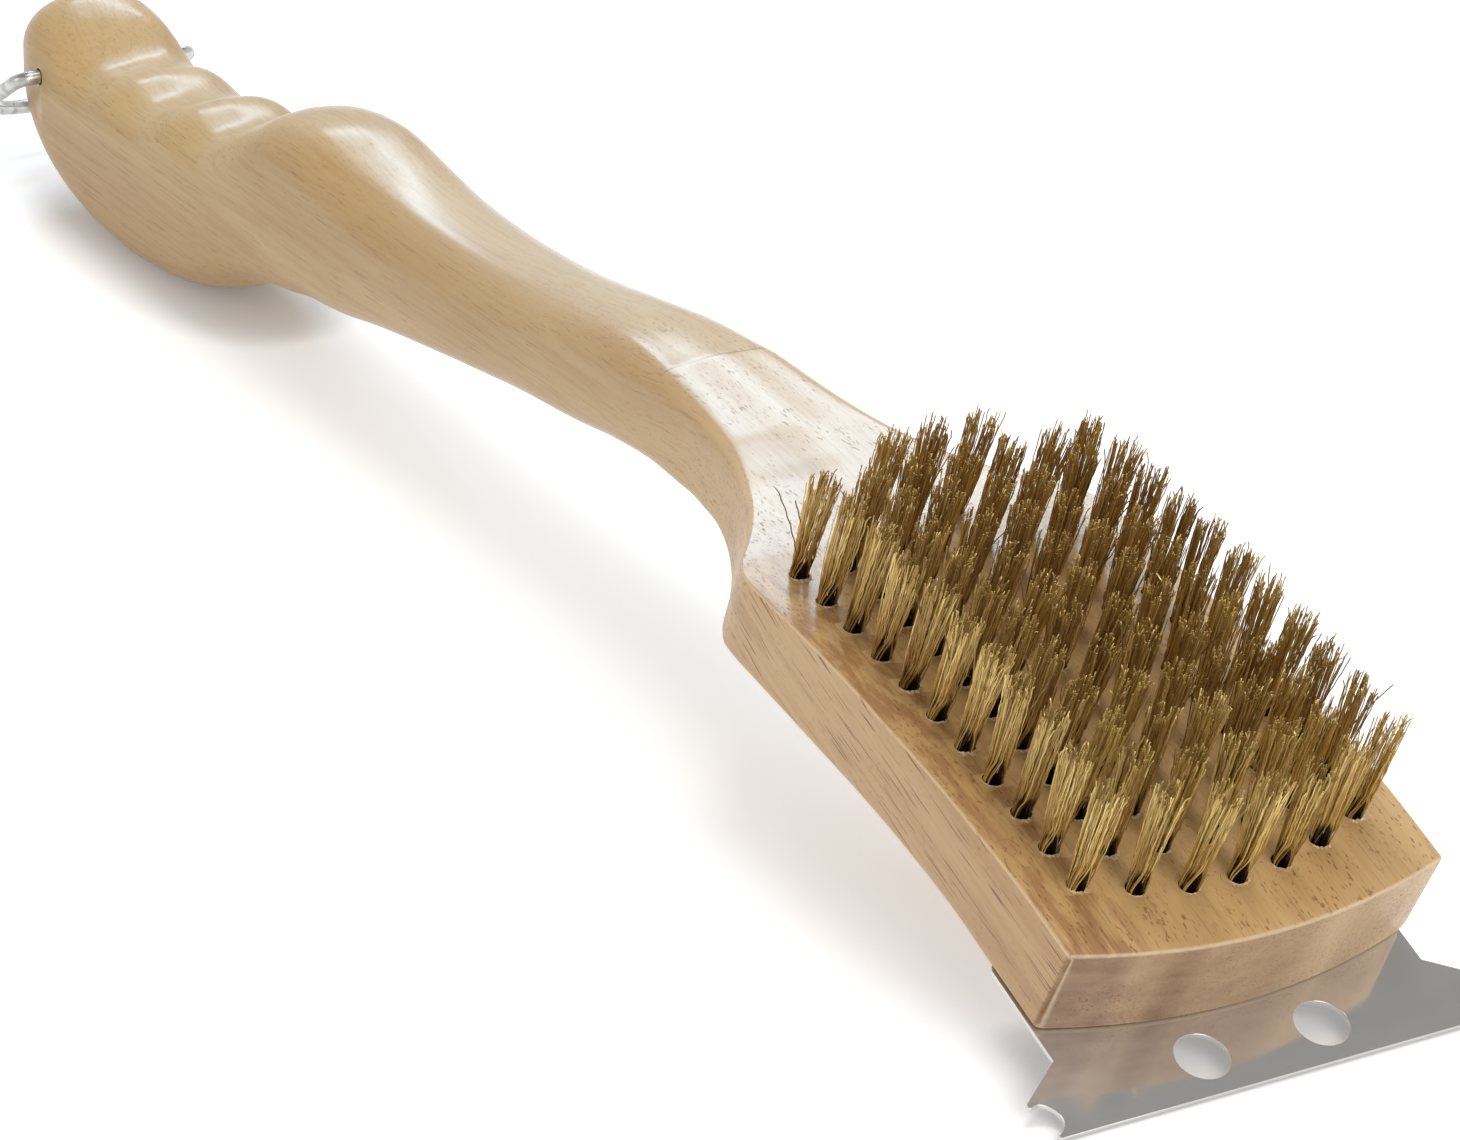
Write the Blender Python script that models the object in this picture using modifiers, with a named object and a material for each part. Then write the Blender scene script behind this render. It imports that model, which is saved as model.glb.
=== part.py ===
"""Grill brush lying on its back: one-piece wooden head and handle, twelve rows of
brass wire tufts, a flat steel scraper held by three screws, and a hanging bail.

Units are metres, +Z is up and +Y runs from the scraper to the end of the handle.
Two local frames are used. The lying frame has its floor at height 0 and starts at
the scraper's front edge. The head frame shares that edge and is tilted up by
HEAD_TILT, so the scraper lies flat in it.
"""
import math

import bmesh
import bpy
import numpy as np
from mathutils import Matrix, Vector

OBJECT_NAME = "grill_brush"

# Fits
GAP = 0.0003
SCREW_CLEARANCE = 0.0003
BAIL_CLEARANCE = 0.0003

# Head of the wooden body, in the head frame
HEAD_TILT = math.radians(21.1)
HEAD_HALF_WIDTH = 0.0376
NECK_HALF_WIDTH = 0.0169
HEAD_THICKNESS = 0.0204
HEAD_FRONT_BOW = 0.0060
HEAD_FACE_LEAN = 0.0025
HEAD_BOW_FADE = 0.034
HEAD_TOP_EDGE = 0.0015
HEAD_BOTTOM_EDGE = 0.0020
HEAD_FACE_EDGE = 0.0012

# Sections of the head and neck: distance behind the front face, drop of the top,
# drop of the underside, and share of the way from the head's width to the neck's
HEAD_SECTIONS = (
    (0.000, 0.0000, 0.0000, 0.000),
    (0.020, 0.0002, 0.0000, 0.000),
    (0.036, 0.0012, 0.0000, 0.000),
    (0.050, 0.0026, 0.0011, 0.000),
    (0.065, 0.0049, 0.0031, 0.000),
    (0.080, 0.0074, 0.0058, 0.000),
    (0.095, 0.0106, 0.0086, 0.000),
    (0.108, 0.0136, 0.0111, 0.000),
    (0.113, 0.0148, 0.0121, 0.020),
    (0.118, 0.0160, 0.0132, 0.138),
    (0.122, 0.0171, 0.0141, 0.296),
    (0.126, 0.0182, 0.0151, 0.438),
    (0.132, 0.0199, 0.0168, 0.621),
    (0.139, 0.0220, 0.0186, 0.783),
    (0.146, 0.0238, 0.0207, 0.906),
    (0.153, 0.0256, 0.0235, 1.000),
)
NECK_EDGE_START = 0.118
NECK_TOP_EDGE = 0.0032
NECK_BOTTOM_EDGE = 0.0042

# Sections of the handle in the lying frame: distance behind the last head section,
# height of the top and of the underside, half width, and radius of the long edges
GRIP_SECTIONS = (
    (0.016, 0.0590, 0.0390, 0.0147, 0.0042),
    (0.027, 0.0594, 0.0390, 0.0145, 0.0052),
    (0.031, 0.0594, 0.0387, 0.0145, 0.0060),
    (0.045, 0.0593, 0.0370, 0.0144, 0.0076),
    (0.065, 0.0572, 0.0338, 0.0143, 0.0090),
    (0.085, 0.0545, 0.0316, 0.0143, 0.0098),
    (0.107, 0.0526, 0.0288, 0.0147, 0.0103),
    (0.129, 0.0521, 0.0258, 0.0152, 0.0108),
    (0.145, 0.0528, 0.0235, 0.0156, 0.0110),
    (0.161, 0.0548, 0.0207, 0.0159, 0.0110),
    (0.173, 0.0565, 0.0194, 0.0160, 0.0110),
    (0.186, 0.0558, 0.0170, 0.0160, 0.0110),
    (0.194, 0.0540, 0.0155, 0.0160, 0.0110),
    (0.200, 0.0512, 0.0140, 0.0161, 0.0110),
    (0.206, 0.0480, 0.0118, 0.0162, 0.0110),
    (0.212, 0.0455, 0.0090, 0.0163, 0.0108),
    (0.224, 0.0434, 0.0048, 0.0165, 0.0105),
    (0.238, 0.0418, 0.0017, 0.0165, 0.0105),
    (0.250, 0.0405, 0.0004, 0.0165, 0.0105),
    (0.261, 0.0390, 0.0000, 0.0165, 0.0105),
    (0.272, 0.0388, 0.0006, 0.0165, 0.0105),
    (0.283, 0.0400, 0.0023, 0.0165, 0.0108),
    (0.293, 0.0424, 0.0052, 0.0164, 0.0110),
    (0.302, 0.0446, 0.0096, 0.0158, 0.0110),
    (0.309, 0.0436, 0.0156, 0.0144, 0.0100),
    (0.314, 0.0402, 0.0222, 0.0115, 0.0080),
    (0.316, 0.0362, 0.0275, 0.0070, 0.0040),
)
FINGER_PITCH = 0.0300
FINGER_FIRST_GROOVE = 0.2210
FINGER_COUNT = 3
FINGER_DEPTH = 0.0030

# Spacing of the sections that the body is lofted from, and where it is closer
STATION_STEP = 0.0045
FINE_STEP = 0.0022
SHOULDER_START = 0.104
SHOULDER_END = 0.135
END_LENGTH = 0.024
EDGE_CORNERS = 5
FLAT_STRIPS = 6
FACE_ROUNDING_STEPS = 3
LARGEST_EDGE_SHARE = 0.98
SHARP_ANGLE = math.radians(35)

# Scraper blade, in the head frame
SCRAPER_THICKNESS = 0.0010
SCRAPER_REACH = 0.0135
SCRAPER_SEAT = 0.0245
SCRAPER_SIDE_INSET = 0.0004
SCRAPER_FLARE_START = 0.0151
SCRAPER_TIP_OUT = 0.0094
SCRAPER_TIP_BACK = 0.0090
SCRAPER_TIP_ROUND = 0.0006
SCRAPER_CORNER_OUT = 0.0076
SCRAPER_REAR_ROUND = 0.0030
ROD_NOTCH_RADIUS = 0.0036
ROD_NOTCH_OUT = 0.0086
ROD_NOTCH_BACK = 0.0041
BLADE_HOLE_RADIUS = 0.0049
BLADE_HOLE_SPACING = 0.0241
BLADE_HOLE_BACK = 0.0080

# Scraper screws
SCREW_COUNT = 3
SCREW_SPACING = 0.0230
SCREW_BACK = 0.0300
SCREW_SHANK_RADIUS = 0.0016
SCREW_LENGTH = 0.0120
SCREW_POINT = 0.0030
SCREW_HEAD_RADIUS = 0.0034
SCREW_HEAD_HEIGHT = 0.0020
SCREW_SLOT_WIDTH = 0.0010
SCREW_SLOT_DEPTH = 0.0009
SCREW_SLOT_TURN = math.radians(50)

# Rounded head of a screw: shares of its radius and of its height
SCREW_HEAD_PROFILE = ((1.0, 0.0), (1.0, 0.35), (0.8, 0.75), (0.4, 0.96), (0.0, 1.0))

# Bristles: tufts stand in rows on the head's top, and a short row ends the field
FULL_ROWS = 11
TUFT_COLUMNS = 7
END_ROW_COLUMNS = 3
ROW_PITCH = 0.00957
COLUMN_PITCH = 0.00925
FIRST_ROW = 0.0130
FIRST_ROW_BOW = 0.0067
LAST_ROW_BOW = 0.0013
TUFT_LENGTH = 0.0223
STRANDS_PER_TUFT = 6
STRAND_SIDES = 3
STRAND_RADIUS = 0.00060
STRAND_ROOT_RING = 0.00125
STRAND_TIP_RING = 0.00235
STRAND_ROOT_DEPTH = 0.0007
BACKING_DEPTH = 0.0015
BACKING_MARGIN = 0.0030

# Hanging bail, sloping down from level by BAIL_SLOPE
BAIL_WIRE_RADIUS = 0.0016
BAIL_PIVOT_FROM_END = 0.0190
BAIL_PIVOT_HEIGHT = 0.0306
BAIL_LENGTH = 0.0340
BAIL_SLOPE = math.radians(32)
BAIL_SIDE_CLEARANCE = 0.0030
BAIL_PIN_LENGTH = 0.0110
BAIL_ELBOW_RADIUS = 0.0032
BAIL_CORNER_RADIUS = 0.0180

ROUND_SIDES = 16
HOLE_SIDES = 28
MERGE = 0.00001


def smooth_curve(xs, ys, x):
    """Value at x of a smooth curve through the points that never overshoots them."""
    xs = np.asarray(xs, dtype=float)
    ys = np.asarray(ys, dtype=float)
    steps = np.diff(xs)
    slopes = np.diff(ys) / steps
    tangents = np.zeros(len(xs))
    tangents[0] = slopes[0]
    tangents[-1] = slopes[-1]
    for i in range(1, len(xs) - 1):
        if slopes[i - 1] * slopes[i] > 0:
            before = 2 * steps[i] + steps[i - 1]
            after = steps[i] + 2 * steps[i - 1]
            tangents[i] = (before + after) / (before / slopes[i - 1] + after / slopes[i])
    x = min(max(x, xs[0]), xs[-1])
    i = min(int(np.searchsorted(xs, x, side="right")) - 1, len(xs) - 2)
    h = steps[i]
    u = (x - xs[i]) / h
    return float(
        ys[i] * (1 + 2 * u) * (1 - u) ** 2
        + tangents[i] * h * u * (1 - u) ** 2
        + ys[i + 1] * u * u * (3 - 2 * u)
        + tangents[i + 1] * h * u * u * (u - 1)
    )


def head_point(x, y, z):
    """Point of the head frame in the lying frame."""
    return Vector((
        x,
        y * math.cos(HEAD_TILT) - z * math.sin(HEAD_TILT),
        y * math.sin(HEAD_TILT) + z * math.cos(HEAD_TILT),
    ))


UNDERSIDE = SCRAPER_THICKNESS + GAP
HEAD_TOP = UNDERSIDE + HEAD_THICKNESS


def top_height(back):
    """Height of the head's top in the head frame, back metres behind its front face."""
    rows = HEAD_SECTIONS
    return HEAD_TOP - smooth_curve([r[0] for r in rows], [r[1] for r in rows], back)


def head_stations():
    """Key sections of the head and neck: centre, tilt, half height, half width, edges."""
    keys = []
    for back, top_drop, under_drop, narrowing in HEAD_SECTIONS:
        top = HEAD_TOP - top_drop
        under = UNDERSIDE - under_drop
        centre = head_point(0, SCRAPER_REACH + back, (top + under) / 2)
        share = max(0.0, back - NECK_EDGE_START) / (HEAD_SECTIONS[-1][0] - NECK_EDGE_START)
        half_width = HEAD_HALF_WIDTH + (NECK_HALF_WIDTH - HEAD_HALF_WIDTH) * narrowing
        keys.append((
            centre.y, centre.z, HEAD_TILT, (top - under) / 2, half_width,
            HEAD_TOP_EDGE + (NECK_TOP_EDGE - HEAD_TOP_EDGE) * share,
            HEAD_BOTTOM_EDGE + (NECK_BOTTOM_EDGE - HEAD_BOTTOM_EDGE) * share,
        ))
    return keys


NECK_END = head_stations()[-1][0]


def grip_stations():
    """Key sections of the handle, in the same form."""
    keys = []
    for back, top, under, half_width, edge in GRIP_SECTIONS:
        keys.append((
            NECK_END + back, (top + under) / 2, 0.0, (top - under) / 2, half_width, edge, edge,
        ))
    return keys


def finger_drop(y):
    """How far the finger grooves take the handle's top down at y in the lying frame."""
    turns = (y - NECK_END - FINGER_FIRST_GROOVE) / FINGER_PITCH
    if turns < -0.5 or turns > FINGER_COUNT - 0.5:
        return 0.0
    return FINGER_DEPTH * (0.5 + 0.5 * math.cos(2 * math.pi * turns))


def section_loop(half_width, half_height, top_edge, bottom_edge, drop):
    """Closed rounded rectangle as (x, z) pairs, right to left over the top and back."""
    limit = min(half_width, half_height) * LARGEST_EDGE_SHARE
    halves = []
    for edge, sign, lower in ((min(top_edge, limit), 1, drop), (min(bottom_edge, limit), -1, 0.0)):
        half = []
        for i in range(EDGE_CORNERS + 1):
            a = math.radians(90 * i / EDGE_CORNERS)
            half.append((half_width - edge + edge * math.cos(a),
                         half_height - edge + edge * math.sin(a)))
        flat = half_width - edge
        for i in range(1, FLAT_STRIPS):
            half.append((flat * (1 - 2 * i / FLAT_STRIPS), half_height))
        for i in range(EDGE_CORNERS + 1):
            a = math.radians(90 + 90 * i / EDGE_CORNERS)
            half.append((-half_width + edge + edge * math.cos(a),
                         half_height - edge + edge * math.sin(a)))
        halves.append([(x, sign * z - lower * max(0.0, z) / half_height) for x, z in half])
    return halves[0] + halves[1][::-1]


def body_sections():
    """World points of every section of the wooden body, front to back."""
    keys = head_stations() + grip_stations()
    travel = [0.0]
    for a, b in zip(keys, keys[1:]):
        travel.append(travel[-1] + math.hypot(b[0] - a[0], b[1] - a[1]))
    columns = list(zip(*keys))
    neck = travel[len(HEAD_SECTIONS) - 1]
    stops = []
    distance = HEAD_FACE_EDGE
    while distance < travel[-1] - FINE_STEP / 4:
        stops.append(distance)
        shoulder = SHOULDER_START < distance < SHOULDER_END
        near_end = distance > travel[-1] - END_LENGTH
        distance += FINE_STEP if shoulder or near_end else STATION_STEP
    stops.append(travel[-1])
    quarter = [math.radians(90 * i / FACE_ROUNDING_STEPS) for i in range(FACE_ROUNDING_STEPS)]
    rounding = [HEAD_FACE_EDGE * (1 - math.cos(a)) for a in quarter]
    sections = []
    for distance in rounding + stops:
        y, z, tilt, half_height, half_width, top_edge, bottom_edge = [
            smooth_curve(travel, column, distance) for column in columns
        ]
        inset = 0.0
        if distance < HEAD_FACE_EDGE:
            inset = HEAD_FACE_EDGE - math.sqrt(HEAD_FACE_EDGE ** 2 - (HEAD_FACE_EDGE - distance) ** 2)
        fade = max(0.0, 1 - distance / HEAD_BOW_FADE)
        drop = finger_drop(y) if distance > neck else 0.0
        loop = section_loop(half_width - inset, half_height - inset, top_edge, bottom_edge, drop)
        points = []
        for x, up in loop:
            back = fade * (HEAD_FRONT_BOW * (x / half_width) ** 2
                           + HEAD_FACE_LEAN * (half_height - up) / (2 * half_height))
            points.append(Vector((
                x,
                y + back * math.cos(tilt) - up * math.sin(tilt),
                z + back * math.sin(tilt) + up * math.cos(tilt),
            )))
        sections.append(points)
    return sections


def loft_mesh(name, sections):
    """Closed mesh through loops of equal length, each end closed by strips across it."""
    bm = bmesh.new()
    rings = [[bm.verts.new(p) for p in loop] for loop in sections]
    count = len(rings[0])
    for first, second in zip(rings, rings[1:]):
        for i in range(count):
            j = (i + 1) % count
            bm.faces.new((first[i], first[j], second[j], second[i]))
    for ring in (rings[0], rings[-1]):
        for i in range(count // 2 - 1):
            bm.faces.new((ring[i], ring[i + 1], ring[count - 2 - i], ring[count - 1 - i]))
    bmesh.ops.triangulate(bm, faces=bm.faces)
    bmesh.ops.recalc_face_normals(bm, faces=bm.faces)
    mesh = bpy.data.meshes.new(name)
    bm.to_mesh(mesh)
    bm.free()
    return mesh


def clear_scene():
    """Remove everything that the scene starts with."""
    for obj in list(bpy.data.objects):
        bpy.data.objects.remove(obj, do_unlink=True)


def collection(name):
    """New collection linked to the scene."""
    made = bpy.data.collections.new(name)
    bpy.context.scene.collection.children.link(made)
    return made


def material(name, colour, roughness, metallic):
    """Principled material of one colour."""
    made = bpy.data.materials.new(name)
    made.use_nodes = True
    shader = made.node_tree.nodes["Principled BSDF"]
    shader.inputs["Base Color"].default_value = (*colour, 1)
    shader.inputs["Roughness"].default_value = roughness
    shader.inputs["Metallic"].default_value = metallic
    return made


def add_object(name, mesh, group, look, parent):
    """Object of a mesh in a collection, with its material and parent."""
    obj = bpy.data.objects.new(name, mesh)
    group.objects.link(obj)
    if look:
        mesh.materials.clear()
        mesh.materials.append(look)
    obj.parent = parent
    return obj


def add_cutter(name, mesh, group, parent):
    """Hidden object that a Boolean modifier reads."""
    obj = add_object(name, mesh, group, None, parent)
    obj.hide_render = True
    obj.display_type = "WIRE"
    return obj


def boolean(obj, operation, operand):
    """Exact Boolean modifier on an object."""
    modifier = obj.modifiers.new(operand.name, "BOOLEAN")
    modifier.operation = operation
    modifier.solver = "EXACT"
    modifier.object = operand


def cylinder_mesh(name, radius, length, axis):
    """Closed cylinder centred on its origin, along the axis X or Z."""
    bm = bmesh.new()
    bmesh.ops.create_cone(bm, cap_ends=True, segments=ROUND_SIDES, radius1=radius,
                          radius2=radius, depth=length)
    if axis == "X":
        bmesh.ops.rotate(bm, verts=bm.verts, matrix=Matrix.Rotation(math.radians(90), 3, "Y"))
    mesh = bpy.data.meshes.new(name)
    bm.to_mesh(mesh)
    bm.free()
    return mesh


def shade_round(mesh):
    """Smooth shading that keeps the sharp edges."""
    mesh.shade_smooth()
    mesh.set_sharp_from_angle(angle=SHARP_ANGLE)


def column_places(row):
    """Places of a row's tufts across the head."""
    count = TUFT_COLUMNS if row < FULL_ROWS else END_ROW_COLUMNS
    return [COLUMN_PITCH * (i - (count - 1) / 2) for i in range(count)]


def row_back(row, x):
    """Distance of a tuft row behind the front face, at x across the head."""
    share = row / (FULL_ROWS - 1)
    bow = FIRST_ROW_BOW + (LAST_ROW_BOW - FIRST_ROW_BOW) * share
    outer = column_places(0)[-1]
    return FIRST_ROW + ROW_PITCH * row + bow * (x / outer) ** 2


def slice_front(row, x):
    """Front edge of a row's slice of backing."""
    if row < FULL_ROWS:
        return (row_back(row - 1, x) + row_back(row, x)) / 2
    return row_back(row, x) - BACKING_MARGIN


def slice_rear(row, x):
    """Rear edge of a row's slice of backing."""
    if row < FULL_ROWS:
        return (row_back(row, x) + row_back(row + 1, x)) / 2
    return row_back(row, x) + BACKING_MARGIN


def backing_loops(first_row, last_row, inset, side_gap, depth, rise):
    """Cross sections of a slab under the head's top, from the left side to the right."""
    half = column_places(first_row)[-1] + BACKING_MARGIN + side_gap
    steps = 2 * len(column_places(first_row)) - 2
    stations = last_row - first_row + 2
    loops = []
    for i in range(steps + 1):
        x = half * (2 * i / steps - 1)
        front = slice_front(first_row, x) + inset
        rear = slice_rear(last_row, x) - inset
        backs = [front + (rear - front) * k / (stations - 1) for k in range(stations)]
        loop = [Vector((x, SCRAPER_REACH + b, top_height(b) + rise)) for b in backs]
        loop += [Vector((x, SCRAPER_REACH + b, top_height(b) - depth)) for b in backs[::-1]]
        loops.append(loop)
    return loops


def strand_mesh(row):
    """All strands of one row, each a three-sided rod from its root to its tip."""
    bm = bmesh.new()
    up = Vector((0, 0, 1))
    for column, x in enumerate(column_places(row)):
        back = row_back(row, x)
        root = Vector((x, SCRAPER_REACH + back, top_height(back)))
        for strand in range(STRANDS_PER_TUFT):
            turn = 2 * math.pi * (strand + 0.5 * (column % 2)) / STRANDS_PER_TUFT
            out = Vector((math.cos(turn), math.sin(turn), 0))
            start = root + out * STRAND_ROOT_RING - up * STRAND_ROOT_DEPTH
            end = root + out * STRAND_TIP_RING + up * TUFT_LENGTH
            aim = (end - start).to_track_quat("Z", "X").to_matrix().to_4x4()
            place = Matrix.Translation((start + end) / 2) @ aim
            bmesh.ops.create_cone(bm, cap_ends=True, segments=STRAND_SIDES,
                                  radius1=STRAND_RADIUS, radius2=STRAND_RADIUS,
                                  depth=(end - start).length, matrix=place)
    mesh = bpy.data.meshes.new("strands_%02d" % (row + 1))
    bm.to_mesh(mesh)
    bm.free()
    return mesh


def make_bristles(group, tools, look, head):
    """One node for each row of tufts, fused to its slice of backing."""
    for row in range(FULL_ROWS + 1):
        name = "bristle_row_%02d" % (row + 1)
        loops = backing_loops(row, row, GAP / 2, 0.0, BACKING_DEPTH - GAP, 0.0)
        slab = add_object(name, loft_mesh(name, loops), group, look, head)
        strands = add_cutter("strands_%02d" % (row + 1), strand_mesh(row), tools, head)
        boolean(slab, "UNION", strands)


def make_body(group, tools, look, root, head):
    """Wooden head and handle, with its pockets, the cross bore and the pilot holes."""
    mesh = loft_mesh("handle", body_sections())
    shade_round(mesh)
    body = add_object("handle", mesh, group, look, root)
    for name, first_row, last_row in (
        ("backing_pocket", 0, FULL_ROWS - 1),
        ("end_row_pocket", FULL_ROWS, FULL_ROWS),
    ):
        pocket = loft_mesh(name, backing_loops(
            first_row, last_row, -GAP / 2, GAP, BACKING_DEPTH, HEAD_THICKNESS / 2))
        boolean(body, "DIFFERENCE", add_cutter(name, pocket, tools, head))
    bore = add_cutter("bail_bore", cylinder_mesh(
        "bail_bore", BAIL_WIRE_RADIUS + BAIL_CLEARANCE, 4 * HEAD_HALF_WIDTH, "X"), tools, root)
    bore.location = bail_pivot()
    boolean(body, "DIFFERENCE", bore)
    depth = SCREW_LENGTH + 2 * GAP
    for x in screw_places():
        hole = add_cutter("pilot_hole", cylinder_mesh(
            "pilot_hole", SCREW_SHANK_RADIUS + SCREW_CLEARANCE, 2 * depth, "Z"), tools, head)
        hole.location = (x, SCREW_BACK, 0)
        boolean(body, "DIFFERENCE", hole)
    return body


def screw_places():
    """Places of the screws across the head."""
    return [SCREW_SPACING * (i - (SCREW_COUNT - 1) / 2) for i in range(SCREW_COUNT)]


def arc(centre, radius, start, end, count):
    """Points of an arc from one angle to another, in degrees."""
    points = []
    for i in range(count + 1):
        a = math.radians(start + (end - start) * i / count)
        points.append((centre[0] + radius * math.cos(a), centre[1] + radius * math.sin(a)))
    return points


def scraper_half_outline():
    """Right half of the blade, from the middle of its front edge to its rear corner."""
    side = HEAD_HALF_WIDTH - SCRAPER_SIDE_INSET
    corner = side + SCRAPER_CORNER_OUT
    notch = (side + ROD_NOTCH_OUT, ROD_NOTCH_BACK)
    tip = (side + SCRAPER_TIP_OUT, SCRAPER_TIP_BACK)
    flare = math.degrees(math.atan2(tip[1] - SCRAPER_FLARE_START, tip[0] - side))
    leave = math.degrees(math.acos((notch[0] - corner) / ROD_NOTCH_RADIUS)) + 180
    points = [(corner, 0.0)]
    points += arc(notch, ROD_NOTCH_RADIUS, leave, 105, 8)
    round_centre = (tip[0] - SCRAPER_TIP_ROUND, tip[1] - 2 * SCRAPER_TIP_ROUND)
    points += arc(round_centre, SCRAPER_TIP_ROUND, -80, flare + 90, 4)
    points.append((side, SCRAPER_FLARE_START))
    rear = SCRAPER_REACH + SCRAPER_SEAT
    rear_round = SCRAPER_REAR_ROUND
    points += arc((side - rear_round, rear - rear_round), rear_round, 0, 90, 4)
    return points


def make_scraper(group, look, head):
    """Flat blade with two round holes, rod notches at its corners and screw holes."""
    half = scraper_half_outline()
    outline = [(-x, y) for x, y in half] + half[::-1]
    loops = [outline]
    for sign in (-1, 1):
        centre = (sign * BLADE_HOLE_SPACING / 2, BLADE_HOLE_BACK)
        loops.append(arc(centre, BLADE_HOLE_RADIUS, 0, 360, HOLE_SIDES)[:-1])
    for x in screw_places():
        hole = SCREW_SHANK_RADIUS + SCREW_CLEARANCE
        loops.append(arc((x, SCREW_BACK), hole, 0, 360, ROUND_SIDES)[:-1])
    curve = bpy.data.curves.new("scraper_outline", "CURVE")
    curve.dimensions = "2D"
    curve.fill_mode = "BOTH"
    curve.extrude = SCRAPER_THICKNESS / 2
    for loop in loops:
        spline = curve.splines.new("POLY")
        spline.points.add(len(loop) - 1)
        for point, (x, y) in zip(spline.points, loop):
            point.co = (x, y, 0, 1)
        spline.use_cyclic_u = True
    curve.materials.append(look)
    blade = bpy.data.objects.new("scraper", curve)
    group.objects.link(blade)
    blade.parent = head
    blade.location = (0, 0, SCRAPER_THICKNESS / 2)


def make_screws(group, tools, look, head):
    """Round-head screws driven up through the blade into the wood."""
    profile = [
        (0, SCREW_LENGTH), (SCREW_SHANK_RADIUS, SCREW_LENGTH - SCREW_POINT),
        (SCREW_SHANK_RADIUS, -GAP),
    ]
    for width, height in SCREW_HEAD_PROFILE:
        profile.append((SCREW_HEAD_RADIUS * width, -GAP - SCREW_HEAD_HEIGHT * height))
    for number, x in enumerate(screw_places(), 1):
        name = "scraper_screw_%d" % number
        mesh = bpy.data.meshes.new(name)
        mesh.from_pydata([(r, 0, z) for r, z in profile],
                         [(i, i + 1) for i in range(len(profile) - 1)], [])
        screw = add_object(name, mesh, group, look, head)
        screw.location = (x, SCREW_BACK, 0)
        turn = screw.modifiers.new("turn", "SCREW")
        turn.axis = "Z"
        turn.steps = ROUND_SIDES
        turn.render_steps = ROUND_SIDES
        turn.use_merge_vertices = True
        turn.merge_threshold = MERGE
        slot_mesh = bpy.data.meshes.new("driver_slot")
        bm = bmesh.new()
        bmesh.ops.create_cube(bm, size=1)
        size = (3 * SCREW_HEAD_RADIUS, SCREW_SLOT_WIDTH, 2 * SCREW_SLOT_DEPTH)
        bmesh.ops.scale(bm, verts=bm.verts, vec=size)
        bm.to_mesh(slot_mesh)
        bm.free()
        slot = add_cutter("driver_slot_%d" % number, slot_mesh, tools, head)
        slot.location = (x, SCREW_BACK, -GAP - SCREW_HEAD_HEIGHT)
        slot.rotation_euler.z = SCREW_SLOT_TURN * number
        boolean(screw, "DIFFERENCE", slot)


def bail_pivot():
    """Axis of the bail in the lying frame."""
    end = NECK_END + GRIP_SECTIONS[-1][0]
    return Vector((0, end - BAIL_PIVOT_FROM_END, BAIL_PIVOT_HEIGHT))


def bail_path():
    """Centre line of the wire with the legs along +Y, one pin in each side of the handle."""
    pivot = bail_pivot().y - NECK_END
    half_width = max(row[3] for row in GRIP_SECTIONS if row[0] > pivot - BAIL_PIVOT_FROM_END)
    leg = half_width + BAIL_SIDE_CLEARANCE + BAIL_WIRE_RADIUS
    elbow = BAIL_ELBOW_RADIUS
    corner = BAIL_CORNER_RADIUS
    half = [(leg - elbow - BAIL_PIN_LENGTH, 0.0)]
    half += arc((leg - elbow, elbow), elbow, -90, 0, 5)
    half += arc((leg - corner, BAIL_LENGTH - corner), corner, 0, 90, 7)
    return half + [(-x, y) for x, y in half[::-1]]


def make_bail(group, look, root):
    """Bent wire whose two pins turn in the handle's cross bore."""
    curve = bpy.data.curves.new("bail_wire", "CURVE")
    curve.dimensions = "3D"
    curve.bevel_depth = BAIL_WIRE_RADIUS
    curve.bevel_resolution = 2
    curve.use_fill_caps = True
    path = bail_path()
    spline = curve.splines.new("POLY")
    spline.points.add(len(path) - 1)
    for point, (x, y) in zip(spline.points, path):
        point.co = (x, y, 0, 1)
    curve.materials.append(look)
    bail = bpy.data.objects.new("hanging_bail", curve)
    group.objects.link(bail)
    bail.parent = root
    bail.location = bail_pivot()
    bail.rotation_euler.x = -BAIL_SLOPE


def footprint_centre():
    """Middle of the length, from the blade's front edge to the bail's far side."""
    front = head_point(0, 0, SCRAPER_THICKNESS).y
    rear = bail_pivot().y + BAIL_LENGTH * math.cos(BAIL_SLOPE) + BAIL_WIRE_RADIUS
    return (front + rear) / 2


def build():
    """Whole brush, centred over its footprint with the floor at height 0."""
    clear_scene()
    group = collection(OBJECT_NAME)
    tools = collection("cutters")
    wood = material("lacquered_wood", (0.52, 0.32, 0.16), 0.35, 0.0)
    brass = material("brass_wire", (0.42, 0.30, 0.12), 0.38, 1.0)
    steel = material("stainless_sheet", (0.60, 0.60, 0.60), 0.25, 1.0)
    plated = material("plated_steel", (0.55, 0.56, 0.58), 0.35, 1.0)
    root = bpy.data.objects.new("lying_frame", None)
    head = bpy.data.objects.new("head_frame", None)
    tools.objects.link(root)
    tools.objects.link(head)
    root.location = (0, -footprint_centre(), 0)
    head.parent = root
    head.rotation_euler.x = HEAD_TILT
    make_body(group, tools, wood, root, head)
    make_bristles(group, tools, brass, head)
    make_scraper(group, steel, head)
    make_screws(group, tools, plated, head)
    make_bail(group, plated, root)


build()
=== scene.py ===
"""Looks of the grill brush: wood, wire tufts, blade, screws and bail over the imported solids.

Units are metres. The lying frame and the head frame are those of the solids: the lying
frame starts at the blade's front edge, and the head frame is tilted up by HEAD_TILT.
"""

import math

import bmesh
import bpy
import numpy as np
from mathutils import Euler, Matrix, Vector


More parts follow.
